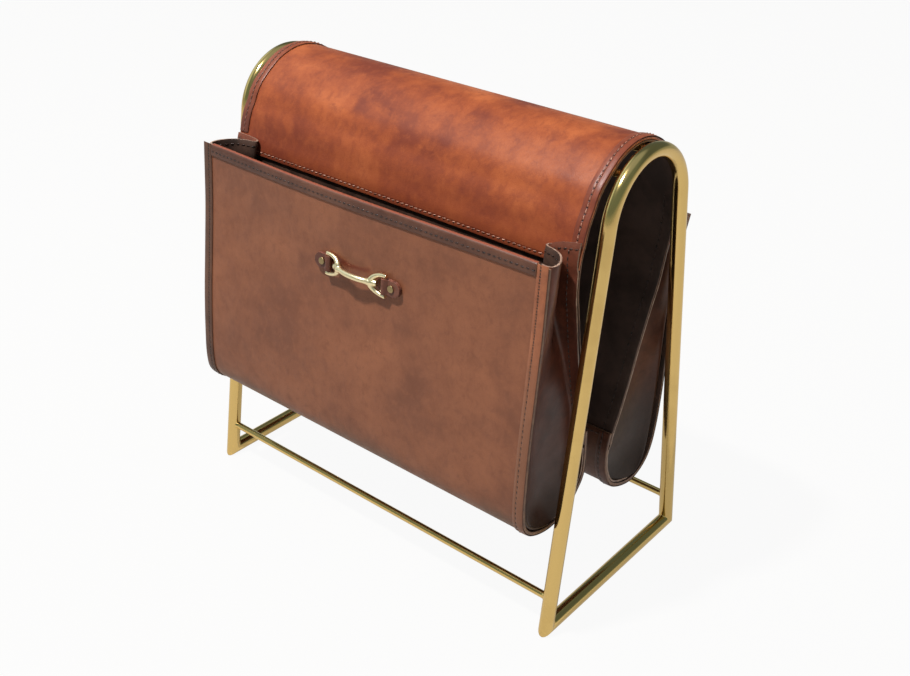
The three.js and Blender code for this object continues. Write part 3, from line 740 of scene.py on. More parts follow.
def sheet_of_leather(name, line_of, x_from, x_to, finish, pad=0.0, cell=CELL, thinned=0.0):
    """A strip bent along a line: finish is (face, flesh side, cut edge)."""
    outer, inner = lines[line_of]
    width, length = x_to - x_from, runs(outer)[-1]
    thickness = np.linalg.norm(point_at(outer, length / 2) - inner, axis=1).min() - thinned
    columns = max(4, round(width / cell))
    piece = flat_cut(name, width, length, columns, round(length / cell))
    share = coordinates(piece)[:, :2] + 0.5
    along = share[:, 1] * length
    away = facing_at(outer, along, inner)
    swell = pad * np.sin(math.pi * share[:, 0]) ** PAD_FULLNESS - thinned
    yz = point_at(outer, along) + away * swell[:, None]
    place_vertices(piece, np.column_stack([x_from + share[:, 0] * width, yz]))
    thickened(piece, thickness, finish, (x_from + width / 2, *inner[len(inner) // 2]))
    if line_of.startswith("front_pocket"):
        place_vertices(piece, bellied(coordinates(piece)))
    print(name, "is", round(width * 1000), "by", round(length * 1000), "mm,",
          round(thickness * 1000, 2), "mm thick,", len(piece.data.polygons), "faces")
    return piece, width, length


def dress(piece, body, slot, *nodes):
    """Hangs a piece on the body it rides on and hides the solids that it stands for; the slot is not used.
    """
    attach(piece, body)
    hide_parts(*nodes)


# %% [markdown]
# ## Stitches
#
# The bag is sewn with one thick waxed thread. A stitch is a short bead that dives
# into a hole at both ends. One bead is modelled, and a seam is many copies of it
# along a path, each turned to follow the seam and to lie on the leather. The beads
# of a seam are one object, so that the piece list stays short.

# %% Stitch tools
STITCH_PITCH = 0.005
STITCH_LENGTH = 0.0040
STITCH_WIDTH = 0.0011
STITCH_DIP = 0.0005
STITCH_LIFT = 0.0002
STITCH_SLANT = math.radians(7)
LONG_SEAM_POINTS = 400
CROSS_SEAM_POINTS = 60

stitch = primitive("one_stitch", bpy.ops.mesh.primitive_uv_sphere_add, segments=6, ring_count=6,
                   radius=0.5, rotation=(0, math.pi / 2, 0))
bead = coordinates(stitch) * (STITCH_LENGTH, STITCH_WIDTH, STITCH_WIDTH)
bead[:, 2] -= STITCH_DIP * (bead[:, 0] / (STITCH_LENGTH / 2)) ** 2
bead_faces = [list(face.vertices) for face in stitch.data.polygons]
bpy.data.objects.remove(stitch)


def seam_steps(length):
    """How many stitches fit on a seam, and their true pitch."""
    count = max(2, round(length / STITCH_PITCH))
    return count, length / count


def sew(name, path, away, thread=DARK_THREAD, lift=STITCH_LIFT, skip_ends=0.0):
    """Lays stitches along a path of points, with the leather's normal at each."""
    run = runs(path)
    count, pitch = seam_steps(run[-1])
    middles = (np.arange(count) + 0.5) * pitch
    middles = middles[(middles >= skip_ends) & (middles <= run[-1] - skip_ends)]
    along = unit(rows_at(run, path, middles + pitch / 4) - rows_at(run, path, middles - pitch / 4))
    out = rows_at(run, away, middles)
    out = unit(out - along * (out * along).sum(axis=1, keepdims=True))
    ahead = along * math.cos(STITCH_SLANT) + np.cross(out, along) * math.sin(STITCH_SLANT)
    spots = rows_at(run, path, middles) + out * lift
    co = spots[:, None] + sum(bead[None, :, k:k + 1] * axis[:, None]
                              for k, axis in enumerate((ahead, np.cross(out, ahead), out)))
    faces = [[v + i * len(bead) for v in face] for i in range(len(spots)) for face in bead_faces]
    mesh = bpy.data.meshes.new(name)
    mesh.from_pydata(co.reshape(-1, 3).tolist(), [], faces)
    mesh.materials.append(thread)
    mesh.shade_smooth()
    piece = bpy.data.objects.new(name, mesh)
    bpy.context.scene.collection.objects.link(piece)
    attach(piece, "saddlebag")
    return piece


def sew_sheet(name, line_of, x, distance, inside=False, **how):
    """Stitches through places across a sheet and distances along its line."""
    line, other = lines[line_of][::-1] if inside else lines[line_of]
    x, distance = np.broadcast_arrays(x, distance)
    path = np.column_stack([x, point_at(line, distance)])
    away = np.column_stack([np.zeros(len(x)), facing_at(line, distance, other)])
    return sew(name, bellied(path) if line_of.startswith("front_pocket") else path, away, **how)


def seam_along(name, line_of, x, start=0.0, end=None, **how):
    """Stitches that follow a sheet's line at one place across."""
    end = runs(lines[line_of][0])[-1] if end is None else end
    return sew_sheet(name, line_of, x, np.linspace(start, end, LONG_SEAM_POINTS), **how)


def seam_across(name, line_of, distance, x_from, x_to, **how):
    """Stitches across a sheet, at one distance from the start of its line."""
    return sew_sheet(name, line_of, np.linspace(x_from, x_to, CROSS_SEAM_POINTS), distance, **how)


def run_at(line, height):
    """Distance along a line at which it first passes a height."""
    return runs(line)[np.argmax(line[:, 1] > height)]


# %% [markdown]
# ## Saddle
#
# The saddle is two sheets. A near-black lining lies on the rods and runs down both
# inner walls. A chestnut panel covers it on top and ends in a sewn hem on both
# sides. A strip is sewn along each side edge of the panel. They're bent from flat
# cuts, which keeps their area true.

# %% Lining and saddle panel
SIDE_SEAM = 0.009
HEM_SEAM = 0.0036
WALL_SEAM_TOP = 0.345
WALL_SEAM_END = 0.004
SADDLE_STRIP_WIDTH = 0.0104

lining_leather = plain_leather("lining_leather", (84, 65, 58), (60, 45, 40), 24, 0.6)
lining, lining_width, lining_length = sheet_of_leather(
    "lining", "saddle_lining", -BAG_X, BAG_X, (FLESH_SIDE, lining_leather, CUT_EDGE))
dress(lining, "saddlebag", "lining_leather", "saddle_lining")
under = lines["saddle_lining"][1]
under_length = runs(under)[-1]
wall_spans = {"front": (WALL_SEAM_END, run_at(under, WALL_SEAM_TOP)),
              "back": (under_length - run_at(under[::-1], WALL_SEAM_TOP), under_length - WALL_SEAM_END)}
lining_stitches = [
    seam_along(f"{wall}_wall_{name}_stitches", "saddle_lining", side * (BAG_X - SIDE_SEAM), start, end,
               inside=True)
    for side, name in SIDES for wall, (start, end) in wall_spans.items()]

panel_length = runs(lines["saddle_panel"][0])[-1]
panel_pitch = seam_steps(2 * (BAG_X - SADDLE_STRIP_WIDTH))[1]
# Painted shade: the saddle turns darker below its top, so that the top reads as lit from above.
saddle_leather = leather(
    "saddle_leather", (181, 99, 57), (156, 79, 45), (119, 56, 39), flat=(2 * BAG_X, panel_length),
    seam=("from_end", HEM_SEAM, panel_pitch), groove=0.65, gloss=(0.36, 0.50), edge_dark=0.35,
    clouds=1.15, shine=0.22, painted_light_below=(0.33, 0.395, (134, 62, 40), 0.32))
saddle, saddle_width, saddle_length = sheet_of_leather(
    "saddle", "saddle_panel", -BAG_X, BAG_X, (saddle_leather, FLESH_SIDE, WARM_EDGE))
dress(saddle, "saddlebag", "saddle_leather", "saddle_panel")

# %% [markdown]
# The left strip along the saddle's side is painted darker below, as shade where it
# turns away from the light, and its stitches use the shaded thread. Each strip is
# narrower than the plain solid under it and reaches a little further down in front,
# as the real ones do.

# %% Strips along the sides of the saddle
SADDLE_STRIP_SEAM = 0.0054
SADDLE_STRIP_THINNED = 0.0003
STRIP_REACH = 0.0025
# Each strip: its three tones, its painted shade below a height and its thread.
saddle_strips = {
    "left": (((166, 92, 60), (144, 76, 50), (108, 56, 42)), (0.345, 0.385, (98, 56, 46), 0.8), SHADED_THREAD),
    "right": (((160, 86, 56), (138, 70, 46), (100, 48, 36)), None, THREAD)}

binding_length = runs(lines["saddle_left_binding"][0])[-1]
lines["saddle_left_binding"] = [
    np.vstack([line[:1] + unit(line[0] - line[1]) * STRIP_REACH, line])
    for line in lines["saddle_left_binding"]]
saddle_trim = []
for side, name in SIDES:
    tones, painted_light_below, thread = saddle_strips[name]
    x_from, x_to = sorted((side * BAG_X, side * (BAG_X - SADDLE_STRIP_WIDTH)))
    strip_leather = leather(
        f"saddle_{name}_strip_leather", *tones, flat=(SADDLE_STRIP_WIDTH, binding_length), painted_light_below=painted_light_below,
        seam=("from_middle", BAG_X - SADDLE_STRIP_SEAM, seam_steps(binding_length)[1]), edge_dark=0.2)
    # Its cut edge is painted dark, as shade in the crease beside the panel.
    strip, _, _ = sheet_of_leather(
        f"saddle_{name}_strip", "saddle_left_binding", x_from, x_to,
        (strip_leather, FLESH_SIDE, SHADED_CUT_EDGE), pad=0.0004, cell=0.0020, thinned=SADDLE_STRIP_THINNED)
    dress(strip, "saddlebag", "saddle_leather", f"saddle_{name}_binding")
    saddle_trim += [strip, seam_along(f"saddle_{name}_stitches", "saddle_left_binding",
                                      side * (BAG_X - SADDLE_STRIP_SEAM), thread=thread)]
inside = BAG_X - SADDLE_STRIP_WIDTH - STITCH_PITCH / 2
for name, distance in (("front", HEM_SEAM), ("back", panel_length - HEM_SEAM)):
    saddle_trim.append(seam_across(f"saddle_{name}_hem_stitches", "saddle_panel", distance,
                                   -inside, inside, thread=THREAD))

# %% [markdown]
# ## Pockets
#
# Each pocket is one long sheet that comes down outside, turns round the foot and
# goes up to a seam on the lining. Its two side edges carry a narrow strip, sewn
# close to the edge, and a folded strip covers the mouth.

# %% Slings, side strips and mouth bindings
STRIP_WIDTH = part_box("front_pocket_right_strip")[1].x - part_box("front_pocket_right_strip")[0].x
STRIP_SEAM = 0.0034
STRIP_THINNED = 0.00045
MOUTH_SEAM = 0.0078
WALL_SEAM = 0.004
HANDLE_HEIGHT = 0.28005
HANDLE_OFFSET = 0.0047
MOUTH_TONES = ((114, 76, 58), (98, 64, 50), (74, 46, 36))
FOLD_HIGHLIGHT_COLOUR = (148, 78, 56)
handle_rub = {"x": HANDLE_OFFSET - 0.007, "z": HANDLE_HEIGHT + 0.004, "reach": 0.023, "sag": 0.004,
              "width": 0.0042}
# Each sling: its three tones, its painted light below a height and its rub mark.
# The front one has a painted reflection of the floor at its foot, and the back one's
# darker tones are the same leather with painted shade.
slings = {"front": (((156, 98, 68), (139, 86, 60), (114, 69, 50)), (0.098, 0.135, (120, 100, 78), 0.55),
                    handle_rub),
          "back": (((116, 76, 56), (98, 64, 48), (74, 47, 36)), None, None)}
# Each side strip: its three tones and its painted light below a height. The front
# right strip is bright at its top as painted light, and painted darker below as shade.
side_strips = {
    ("front", "left"): (((114, 76, 56), (100, 68, 52), (72, 46, 36)), None),
    ("front", "right"): (((200, 126, 84), (176, 106, 72), (128, 76, 52)), (0.20, 0.34, (128, 86, 64), 0.9)),
    ("back", "left"): (((110, 72, 54), (94, 62, 48), (66, 43, 34)), None),
    ("back", "right"): (((116, 70, 54), (98, 60, 46), (70, 44, 34)), None)}

for pocket, (tones, painted_light_below, rub) in slings.items():
    sling_name, strip_name, binding_name = (
        f"{pocket}_pocket_sling", f"{pocket}_pocket_left_strip", f"{pocket}_pocket_binding")
    length = runs(lines[sling_name][0])[-1]
    sling_leather = leather(f"{pocket}_pocket_leather", *tones, flat=(2 * BAG_X, length),
                            gloss=(0.40, 0.52), edge_dark=0.3, clouds=0.75, painted_light_below=painted_light_below, rub=rub)
    sling, width, length = sheet_of_leather(
        f"{pocket}_pocket", sling_name, -BAG_X, BAG_X, (sling_leather, FLESH_SIDE, BEIGE_EDGE))
    dress(sling, "saddlebag", "pocket_leather", sling_name)
    wall_end = length - WALL_SEAM if pocket == "front" else WALL_SEAM
    trim = [seam_across(f"{pocket}_wall_stitches", sling_name, wall_end,
                        -BAG_X + STRIP_WIDTH, BAG_X - STRIP_WIDTH)]

    strip_length = runs(lines[strip_name][0])[-1]
    seam_x = BAG_X - STRIP_WIDTH + STRIP_SEAM
    for side, name in SIDES:
        node_name = f"{pocket}_pocket_{name}_strip"
        low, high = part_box(node_name)
        tones, painted_light_below = side_strips[pocket, name]
        strip_leather = leather(
            f"{pocket}_{name}_strip_leather", *tones, flat=(STRIP_WIDTH, strip_length), painted_light_below=painted_light_below,
            seam=("from_middle", seam_x, seam_steps(strip_length)[1]), groove=0.2, edge_dark=0.15)
        strip, _, _ = sheet_of_leather(
            f"{pocket}_{name}_strip", strip_name, low.x, high.x, (strip_leather, FLESH_SIDE, STRIP_EDGE),
            pad=0.0003, cell=0.0028, thinned=STRIP_THINNED)
        dress(strip, "saddlebag", "trim_leather", node_name)
        trim += [strip, seam_along(f"{pocket}_{name}_strip_stitches", strip_name, side * seam_x,
                                   lift=0.0001 - STRIP_THINNED)]

    low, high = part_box(binding_name)
    mouth_line = lines[binding_name][0]
    fold = runs(mouth_line)[np.argmax(mouth_line[:, 1])]
    # The fold along the top of each mouth strip gets a painted highlight.
    mouth_leather = leather(f"{pocket}_mouth_leather", *MOUTH_TONES, edge_dark=0.1,
                            flat=(high.x - low.x, runs(mouth_line)[-1]), fold_highlight=(fold, FOLD_HIGHLIGHT_COLOUR))
    mouth, _, _ = sheet_of_leather(f"{pocket}_mouth_strip", binding_name, low.x, high.x,
                                   (mouth_leather, FLESH_SIDE, BEIGE_EDGE), cell=0.0022)
    dress(mouth, "saddlebag", "trim_leather", binding_name)
    distance = fold - MOUTH_SEAM if pocket == "front" else fold + MOUTH_SEAM
    trim += [mouth, seam_across(f"{pocket}_mouth_stitches", binding_name, distance, low.x, high.x)]

# %% [markdown]
# ## Gussets
#
# A gusset closes each end of a pocket. It's one soft piece: the front flange is
# sewn behind the panel, the middle folds into the pocket like a bellows, and the
# back flange is sewn to the inner wall. Its plan is drawn twice, once for the mouth,
# where it folds deep, and once for the foot, where it lies in a shallow hollow. The
# plans in between are blended, and each is fitted between panel and wall.

# %% Plan and levels of a gusset
GUSSET_THICKNESS = 0.0016
GUSSET_CLEARANCE = 0.0005
GUSSET_EDGE = GUSSET_THICKNESS / 2 + GUSSET_CLEARANCE
GUSSET_FOLD = 0.0265
GUSSET_RECESS = 0.012
GUSSET_FLARE = 0.35
LAYER_REACH = 0.004
LAYER_BLEND = 0.6
HOLLOW_POINTS = 600
FOOT_ROUND = 0.032
LIP_EASE = 0.05
INWARD = {"front": 1, "back": -1}
MOUTH_PLAN = np.array([
    (0, 0.32), (0, 0.17), (0.04, 0.03), (0.14, -0.02), (0.3, 0), (0.48, 0.13), (0.66, 0.34),
    (0.78, 0.66), (0.83, 0.9), (0.9, 1), (0.97, 0.9), (1, 0.6), (1, -0.04)])
FOOT_PLAN = np.array([
    (0, 0.75), (0, 0.4), (0.03, 0.2), (0.1, 0.5), (0.22, 0.8), (0.36, 0.96), (0.5, 1),
    (0.64, 0.96), (0.76, 0.9), (0.88, 0.86), (0.97, 0.8), (1, 0.5), (1, -0.06)])
# How far each lip droops or stands up, at some twelfths of the way round from the panel.
LIP_RISES = {
    -1: {0: -0.0025, 2: -0.0029, 5: -0.0029, 8: -0.0032, 9: -0.0032, 10: -0.0030, 12: -0.0024},
    1: {0: -0.0025, 2: -0.0029, 4: -0.0029, 5: -0.0030, 8: -0.0036, 9: -0.0037, 10: -0.0030,
        11: 0.0004, 12: 0.0042}}


def from_mouth(pocket, line):
    """A line turned so that it starts at this pocket's own side."""
    return line[::INWARD[pocket]]


def wall_face(pocket, height):
    """Y of the inner wall's innermost layer at a height."""
    sling = from_mouth(pocket, lines[f"{pocket}_pocket_sling"][1])
    lining_face = from_mouth(pocket, lines["saddle_lining"][0])
    panel_face = from_mouth(pocket, lines["saddle_panel"][0])
    if height < lining_face[0][1]:
        return reach_at(sling[np.argmin(sling[:, 1]):], height)
    return reach_at(panel_face if height > panel_face[0][1] else lining_face, height)


def clear_wall(pocket, height):
    """Y of a face that eases over the ends of the wall's layers."""
    side = -INWARD[pocket]
    near = [side * wall_face(pocket, height + k * LAYER_REACH / 2) for k in (-2, -1, 0, 1, 2)]
    return side * (LAYER_BLEND * max(near) + (1 - LAYER_BLEND) * max(near[1:4]))


def hollow_of(pocket):
    """A sling's inner face, moved in by half a gusset and its clearance."""
    outer, inner = [from_mouth(pocket, line) for line in lines[f"{pocket}_pocket_sling"]]
    distance = np.linspace(0, runs(inner)[-1], HOLLOW_POINTS)
    return point_at(inner, distance) + facing_at(inner, distance, outer) * GUSSET_EDGE


def gusset_grid(pocket, side, levels):
    """Rows of points of a gusset's middle face, one row a level."""
    low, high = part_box(f"{pocket}_pocket_left_gusset")
    hollow = hollow_of(pocket)
    foot = np.argmin(hollow[:, 1])
    wall_from = from_mouth(pocket, lines["saddle_lining"][0])[0][1]
    rises, rows = LIP_RISES[side], []
    for height in levels:
        panel = reach_at(hollow[:foot + 1], height)
        above = np.clip((height - wall_from + 3 * LAYER_REACH) / (2 * LAYER_REACH), 0, 1)
        wall = ((1 - above) * reach_at(hollow[foot:], height)
                + above * (clear_wall(pocket, height) - INWARD[pocket] * GUSSET_EDGE))
        shallow = math.sin(math.pi / 2 * np.clip((height - hollow[foot, 1]) / FOOT_ROUND, 0, 1))
        mix = eased(((height - low.z) / (high.z - low.z) - GUSSET_FLARE) / (1 - GUSSET_FLARE))
        plan = smoothed(FOOT_PLAN * (1, GUSSET_RECESS * shallow) * (1 - mix)
                        + MOUTH_PLAN * (1, GUSSET_FOLD) * mix)
        lifted = np.interp(np.linspace(0, max(rises), len(plan)), list(rises), list(rises.values()))
        rows.append(np.column_stack([
            side * (BAG_X - GUSSET_EDGE - plan[:, 1]),
            panel + INWARD[pocket] * abs(wall - panel) * plan[:, 0],
            height + lifted * eased(1 - (high.z - height) / LIP_EASE)]))
    return np.array(rows)


def lip_side(lip, side):
    """Unit normals of a lip's outer face."""
    ahead = np.gradient(lip, axis=0)
    out = unit(np.column_stack([ahead[:, 1], -ahead[:, 0], np.zeros(len(lip))]))
    return out * np.sign(out[len(out) // 3, 0] * side)


# %% [markdown]
# Each gusset is a flat grid whose vertices move to their places on the levels. The
# levels crowd near the foot, where the piece turns fastest. It's sewn along its lip,
# seen from both sides, and along its flange on the inner wall.

# %% Gussets
GUSSET_LEVELS = 80
LEVEL_CROWDING = 1.5
LIP_SEAM = 0.0045
FLANGE_SEAM = 0.009
FLANGE_CLEAR = 0.001
LOBE_SHARE, FLANGE_SHARE = 0.29, 0.83
# Each pocket's gussets: their three tones and their painted shade towards the foot,
# deep in the pocket. The back pair's darker tones are painted shade too.
gussets = {"front": (((136, 76, 55), (114, 63, 46), (77, 43, 33)), (0.11, 0.25, (62, 47, 39), 0.8)),
           "back": (((116, 72, 54), (98, 60, 46), (68, 42, 34)), (0.10, 0.20, (52, 40, 34), 0.85))}

for pocket, (tones, painted_light_below) in gussets.items():
    gusset_leather = leather(f"{pocket}_gusset_leather", *tones, gloss=(0.30, 0.42), painted_light_below=painted_light_below)
    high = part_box(f"{pocket}_pocket_left_gusset")[1]
    bottom = hollow_of(pocket)[:, 1].min() + GUSSET_CLEARANCE / 2
    height = high.z - bottom
    levels = bottom + height * np.linspace(0, 1, GUSSET_LEVELS + 1) ** LEVEL_CROWDING
    for side, name in SIDES:
        label = f"{pocket}_{name}"
        grid = gusset_grid(pocket, side, levels)
        cells = (grid.shape[1] - 1, GUSSET_LEVELS)
        width = np.linalg.norm(np.diff(grid, axis=1), axis=2).sum(axis=1).max()
        piece = flat_cut(f"{label}_gusset", width, height, *cells)
        order = np.rint((coordinates(piece)[:, :2] + 0.5) * cells).astype(int)
        place_vertices(piece, grid[order[:, 1], order[:, 0]])
        lobe = Vector(grid[-2, int(grid.shape[1] * LOBE_SHARE)])
        nearest = min(piece.data.polygons, key=lambda face: (face.center - lobe).length)
        if nearest.normal.x * side < 0:
            piece.data.flip_normals()
        thickened(piece, GUSSET_THICKNESS, (gusset_leather, FLESH_SIDE, PALE_EDGE), offset=0,
                  edge_round=0.0004)
        dress(piece, "saddlebag", "lining_leather", f"{pocket}_pocket_{name}_gusset")

        lip = gusset_grid(pocket, side, [high.z - LIP_SEAM])[0]
        out = lip_side(lip, side)
        skin = out * GUSSET_THICKNESS / 2
        back = int(len(lip) * FLANGE_SHARE)
        seam_x = BAG_X - FLANGE_SEAM
        seam = [[side * seam_x] + [np.interp(seam_x, row[:, 0] * side, row[:, k]) for k in (1, 2)]
                for row in grid[::-1, back:] if abs(row[:, 0]).min() < seam_x - FLANGE_CLEAR]
        outward = np.array((0.0, -INWARD[pocket], 0.0))
        stitches = [
            sew(f"{label}_lip_stitches", (lip + skin)[back:], out[back:]),
            sew(f"{label}_lip_stitches_inside", lip - skin, -out),
            sew(f"{label}_flange_stitches", np.array(seam) + outward * GUSSET_THICKNESS / 2,
                np.tile(outward, (len(seam), 1)), skip_ends=LIP_SEAM)]

# %% [markdown]
# ## Brass frame
#
# Each end frame is one tube, bent over the top, and a floor bar that is brazed
# between its feet. The joints are cut at a slant, like the corner of a picture
# frame, and polished until no line shows, so here the whole loop is one mesh. The
# bend is a circle of vertices, spun about the centre of the arch. The legs and the
# floor bar are extruded from it, ring by ring, and each ring at a corner slides
# along the tube onto the slanted plane of the cut. A little smoothing then rounds
# the tip and fills the inner corner, as braze and polishing do.

# %% End frames
ARCH_RADIUS = 0.0522
TUBE_SIDES = 48
ARCH_STEPS = 56
CORNER_STOPS = (0.012, 0.0075, 0.0052, 0.0034, 0.0020, 0.0009)
CORNER_ROUNDING = 7
CORNER_REACH = 2
CORNER_WEIGHT = 1.5
SAME_RING = 1e-5
RING_REACH = 1.01
NUDGE = 0.0001
bow_low, bow_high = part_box("right_bow_tube")
tube_radius = (bow_high.x - bow_low.x) / 2
end_x = (bow_high.x + bow_low.x) / 2
middle_y = (bow_high.y + bow_low.y) / 2
arch_z = bow_high.z - tube_radius - ARCH_RADIUS
corner_y = (bow_high.y - bow_low.y) / 2 - tube_radius
rise = arch_z - tube_radius
lean = math.atan2(corner_y, rise) - math.asin(ARCH_RADIUS / math.hypot(corner_y, rise))
print("tube", round(tube_radius * 2000, 2), "mm thick, legs lean", round(math.degrees(lean), 2), "degrees")


def select_ring(piece, centre, normal, reach):
    """In edit mode, selects the vertices of one ring by their place."""
    mesh = bmesh.from_edit_mesh(piece.data)
    for vertex in mesh.verts:
        away = vertex.co - centre
        vertex.select_set(abs(away @ normal) < SAME_RING and away.length < reach)
    mesh.select_flush_mode()
    bmesh.update_edit_mesh(piece.data)


def extrude_to_plane(piece, along, place, normal):
    """Extrudes the selected ring and slides it along the tube onto a plane."""
    bpy.ops.mesh.extrude_region_move(TRANSFORM_OT_translate={"value": along * NUDGE})
    mesh = bmesh.from_edit_mesh(piece.data)
    for vertex in mesh.verts:
        if vertex.select:
            vertex.co += along * (((place - vertex.co) @ normal) / (along @ normal))
    bmesh.update_edit_mesh(piece.data)


def end_frame(name, x):
    """An arched tube, two straight legs and a floor bar as one closed loop."""
    centre = Vector((x, middle_y, arch_z))
    piece = primitive(
        name, bpy.ops.mesh.primitive_circle_add, vertices=TUBE_SIDES, radius=tube_radius,
        fill_type="NOTHING", rotation=(lean, 0, 0),
        location=centre + Vector((0, math.cos(lean), math.sin(lean))) * ARCH_RADIUS)
    bpy.ops.object.mode_set(mode="EDIT")
    bpy.ops.mesh.select_all(action="SELECT")
    bpy.ops.mesh.spin(steps=ARCH_STEPS, angle=2 * lean - math.pi, center=centre, axis=(1, 0, 0))
    for side in (-1, 1):
        leg = Vector((0, side * math.sin(lean), -math.cos(lean)))
        start = centre + Vector((0, side * math.cos(lean), math.sin(lean))) * ARCH_RADIUS
        tip = Vector((x, middle_y + side * corner_y, tube_radius))
        bar = Vector((0, -side, 0))
        cut = (leg + bar).normalized()
        select_ring(piece, start, leg, tube_radius * RING_REACH)
        for stop in CORNER_STOPS:
            extrude_to_plane(piece, leg, tip - leg * stop, cut)
        extrude_to_plane(piece, leg, tip, cut)
        for stop in CORNER_STOPS[::-1]:
            extrude_to_plane(piece, bar, tip + bar * stop, cut)
        extrude_to_plane(piece, bar, Vector((x, middle_y, tube_radius)), bar)
    bpy.ops.mesh.select_all(action="SELECT")
    bpy.ops.mesh.remove_doubles(threshold=SAME_RING)
    bpy.ops.mesh.normals_make_consistent(inside=False)
    bpy.ops.object.mode_set(mode="OBJECT")
    corners = piece.vertex_groups.new(name="corners")
    for side in (-1, 1):
        tip = Vector((x, middle_y + side * corner_y, tube_radius))
        for vertex in piece.data.vertices:
            gap = (vertex.co - tip).length
            if gap < tube_radius * CORNER_REACH:
                weight = min(1, (CORNER_REACH - gap / tube_radius) * CORNER_WEIGHT)
                corners.add([vertex.index], weight, "REPLACE")
    modified(piece, "SMOOTH", vertex_group=corners.name, factor=0.5, iterations=CORNER_ROUNDING)
    piece.data.shade_smooth()
    piece.data.materials.append(POLISHED_BRASS)
    return piece


for side, name in SIDES:
    piece = end_frame(f"{name}_end_frame", side * end_x)
    dress(piece, "frame", "brass", f"{name}_bow_tube", f"{name}_floor_bar")
    print(piece.name, "has", len(piece.data.polygons), "faces")

# %% Rods
FILLET = 0.0009
FILLET_LENGTH = 0.0022
FILLET_RINGS = (1, 0.75, 0.5, 0.25)
ROD_SINK = 0.0018
ROD_SIDES = 32
ROUND_ANGLE = math.radians(40)


def round_bar(name, start, end, radius, fillet, fillet_length):
    """A round bar, with its two ends flared by a fillet of brazing metal."""
    start, end = Vector(start), Vector(end)
    axis = (end - start).normalized()
    piece = primitive(
        name, bpy.ops.mesh.primitive_cylinder_add, vertices=ROD_SIDES, radius=radius,
        depth=(end - start).length, end_fill_type="NGON", location=(start + end) / 2,
        rotation=axis.to_track_quat("Z", "Y").to_euler())
    bpy.ops.object.mode_set(mode="EDIT")
    for tip, way in ((start, axis), (end, -axis)):
        for share in FILLET_RINGS:
            bpy.ops.mesh.select_all(action="SELECT")
            bpy.ops.mesh.bisect(plane_co=tip + way * fillet_length * share, plane_no=axis)
    mesh = bmesh.from_edit_mesh(piece.data)
    for vertex in mesh.verts:
        gap = min((vertex.co - start) @ axis, (end - vertex.co) @ axis)
        foot = start + axis * ((vertex.co - start) @ axis)
        grown = fillet * max(0.0, 1 - gap / fillet_length) ** 2
        vertex.co = foot + (vertex.co - foot) * (1 + grown / radius)
    bmesh.update_edit_mesh(piece.data)
    bpy.ops.object.mode_set(mode="OBJECT")
    bpy.ops.object.shade_smooth_by_angle(angle=ROUND_ANGLE)
    piece.data.materials.append(POLISHED_BRASS)
    return piece


for name in ("front_lower_rod", "back_lower_rod", "front_shoulder_rod", "crown_rod", "back_shoulder_rod"):
    low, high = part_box(name)
    y, z = (low.y + high.y) / 2, (low.z + high.z) / 2
    reach = end_x - tube_radius + ROD_SINK
    rod = round_bar(name.replace("rod", "brass_rod"), (-reach, y, z), (reach, y, z),
                    (high.z - low.z) / 2, FILLET, FILLET_LENGTH + ROD_SINK)
    dress(rod, "frame", "brass", name)

# %% [markdown]
# ## Handle
#
# The handle is shaped like a horse's bit: a bowed bar through two open shackles.
# Each shackle's straight pin is held by a leather tab that folds round it and is
# riveted to the panel. The wires are drawn as curves with a radius at each point,
# and a fine remesh fuses them, which leaves the soft fillets of a casting. All of
# it is drawn flat against the panel and then leaned with it.

# %% Where the handle sits
TAB_WIDTH = 0.0134
panel_line = lines["front_pocket_sling"][0]
on_panel = np.array([[HANDLE_OFFSET, reach_at(panel_line, HANDLE_HEIGHT), HANDLE_HEIGHT]])
panel_y = bellied(on_panel)[0, 1]
panel_lean = math.atan2(reach_at(panel_line, HANDLE_HEIGHT + TAB_WIDTH / 2)
                        - reach_at(panel_line, HANDLE_HEIGHT - TAB_WIDTH / 2), TAB_WIDTH)
handle_place = (Matrix.Translation((HANDLE_OFFSET, panel_y, HANDLE_HEIGHT))
                @ Matrix.Rotation(-panel_lean, 4, "X"))
print("the panel leans", round(math.degrees(panel_lean), 1), "degrees at the handle")

# %% Bit
PIN_SPAN = 0.0624
PIN_RADIUS = 0.0013
BAR_RADIUS = 0.0026
COLLAR_RADIUS = 0.0034
STUB_RADIUS = 0.0029
BAR_STUB = 0.0055
COLLAR_INSET = 0.03
COLLAR_SPREAD = 0.09
HANDLE_BOW = 0.0056
SHACKLE_BOW = 0.4
SHACKLE_RADIUS = 0.0018
SHACKLE_KNUCKLE = 0.0026
SHACKLE_HEIGHT = 0.0175
SHACKLE_DEPTH = 0.0135
TAB_THICKNESS = 0.0013
SEAT_GAP = 0.0003
BIT_VOXEL = 0.00028
WIRE_STEPS = 40
pin_y = -(SEAT_GAP + TAB_THICKNESS / 2) - (PIN_RADIUS + SEAT_GAP + TAB_THICKNESS / 2)


def wire(name, points, radii):
    """A closed bar along a path, with its own radius at each point."""
    bpy.ops.object.select_all(action="DESELECT")
    bpy.ops.curve.primitive_nurbs_path_add()
    piece = added(name)
    piece.data.splines.clear()
    spline = piece.data.splines.new("POLY")
    spline.points.add(len(points) - 1)
    for spot, point, radius in zip(spline.points, points, radii):
        spot.co = (*point, 1)
        spot.radius = radius
    piece.data.dimensions = "3D"
    piece.data.bevel_depth = 1.0
    piece.data.bevel_resolution = 5
    piece.data.use_fill_caps = True
    alone(piece)
    bpy.ops.object.convert(target="MESH")
    return piece


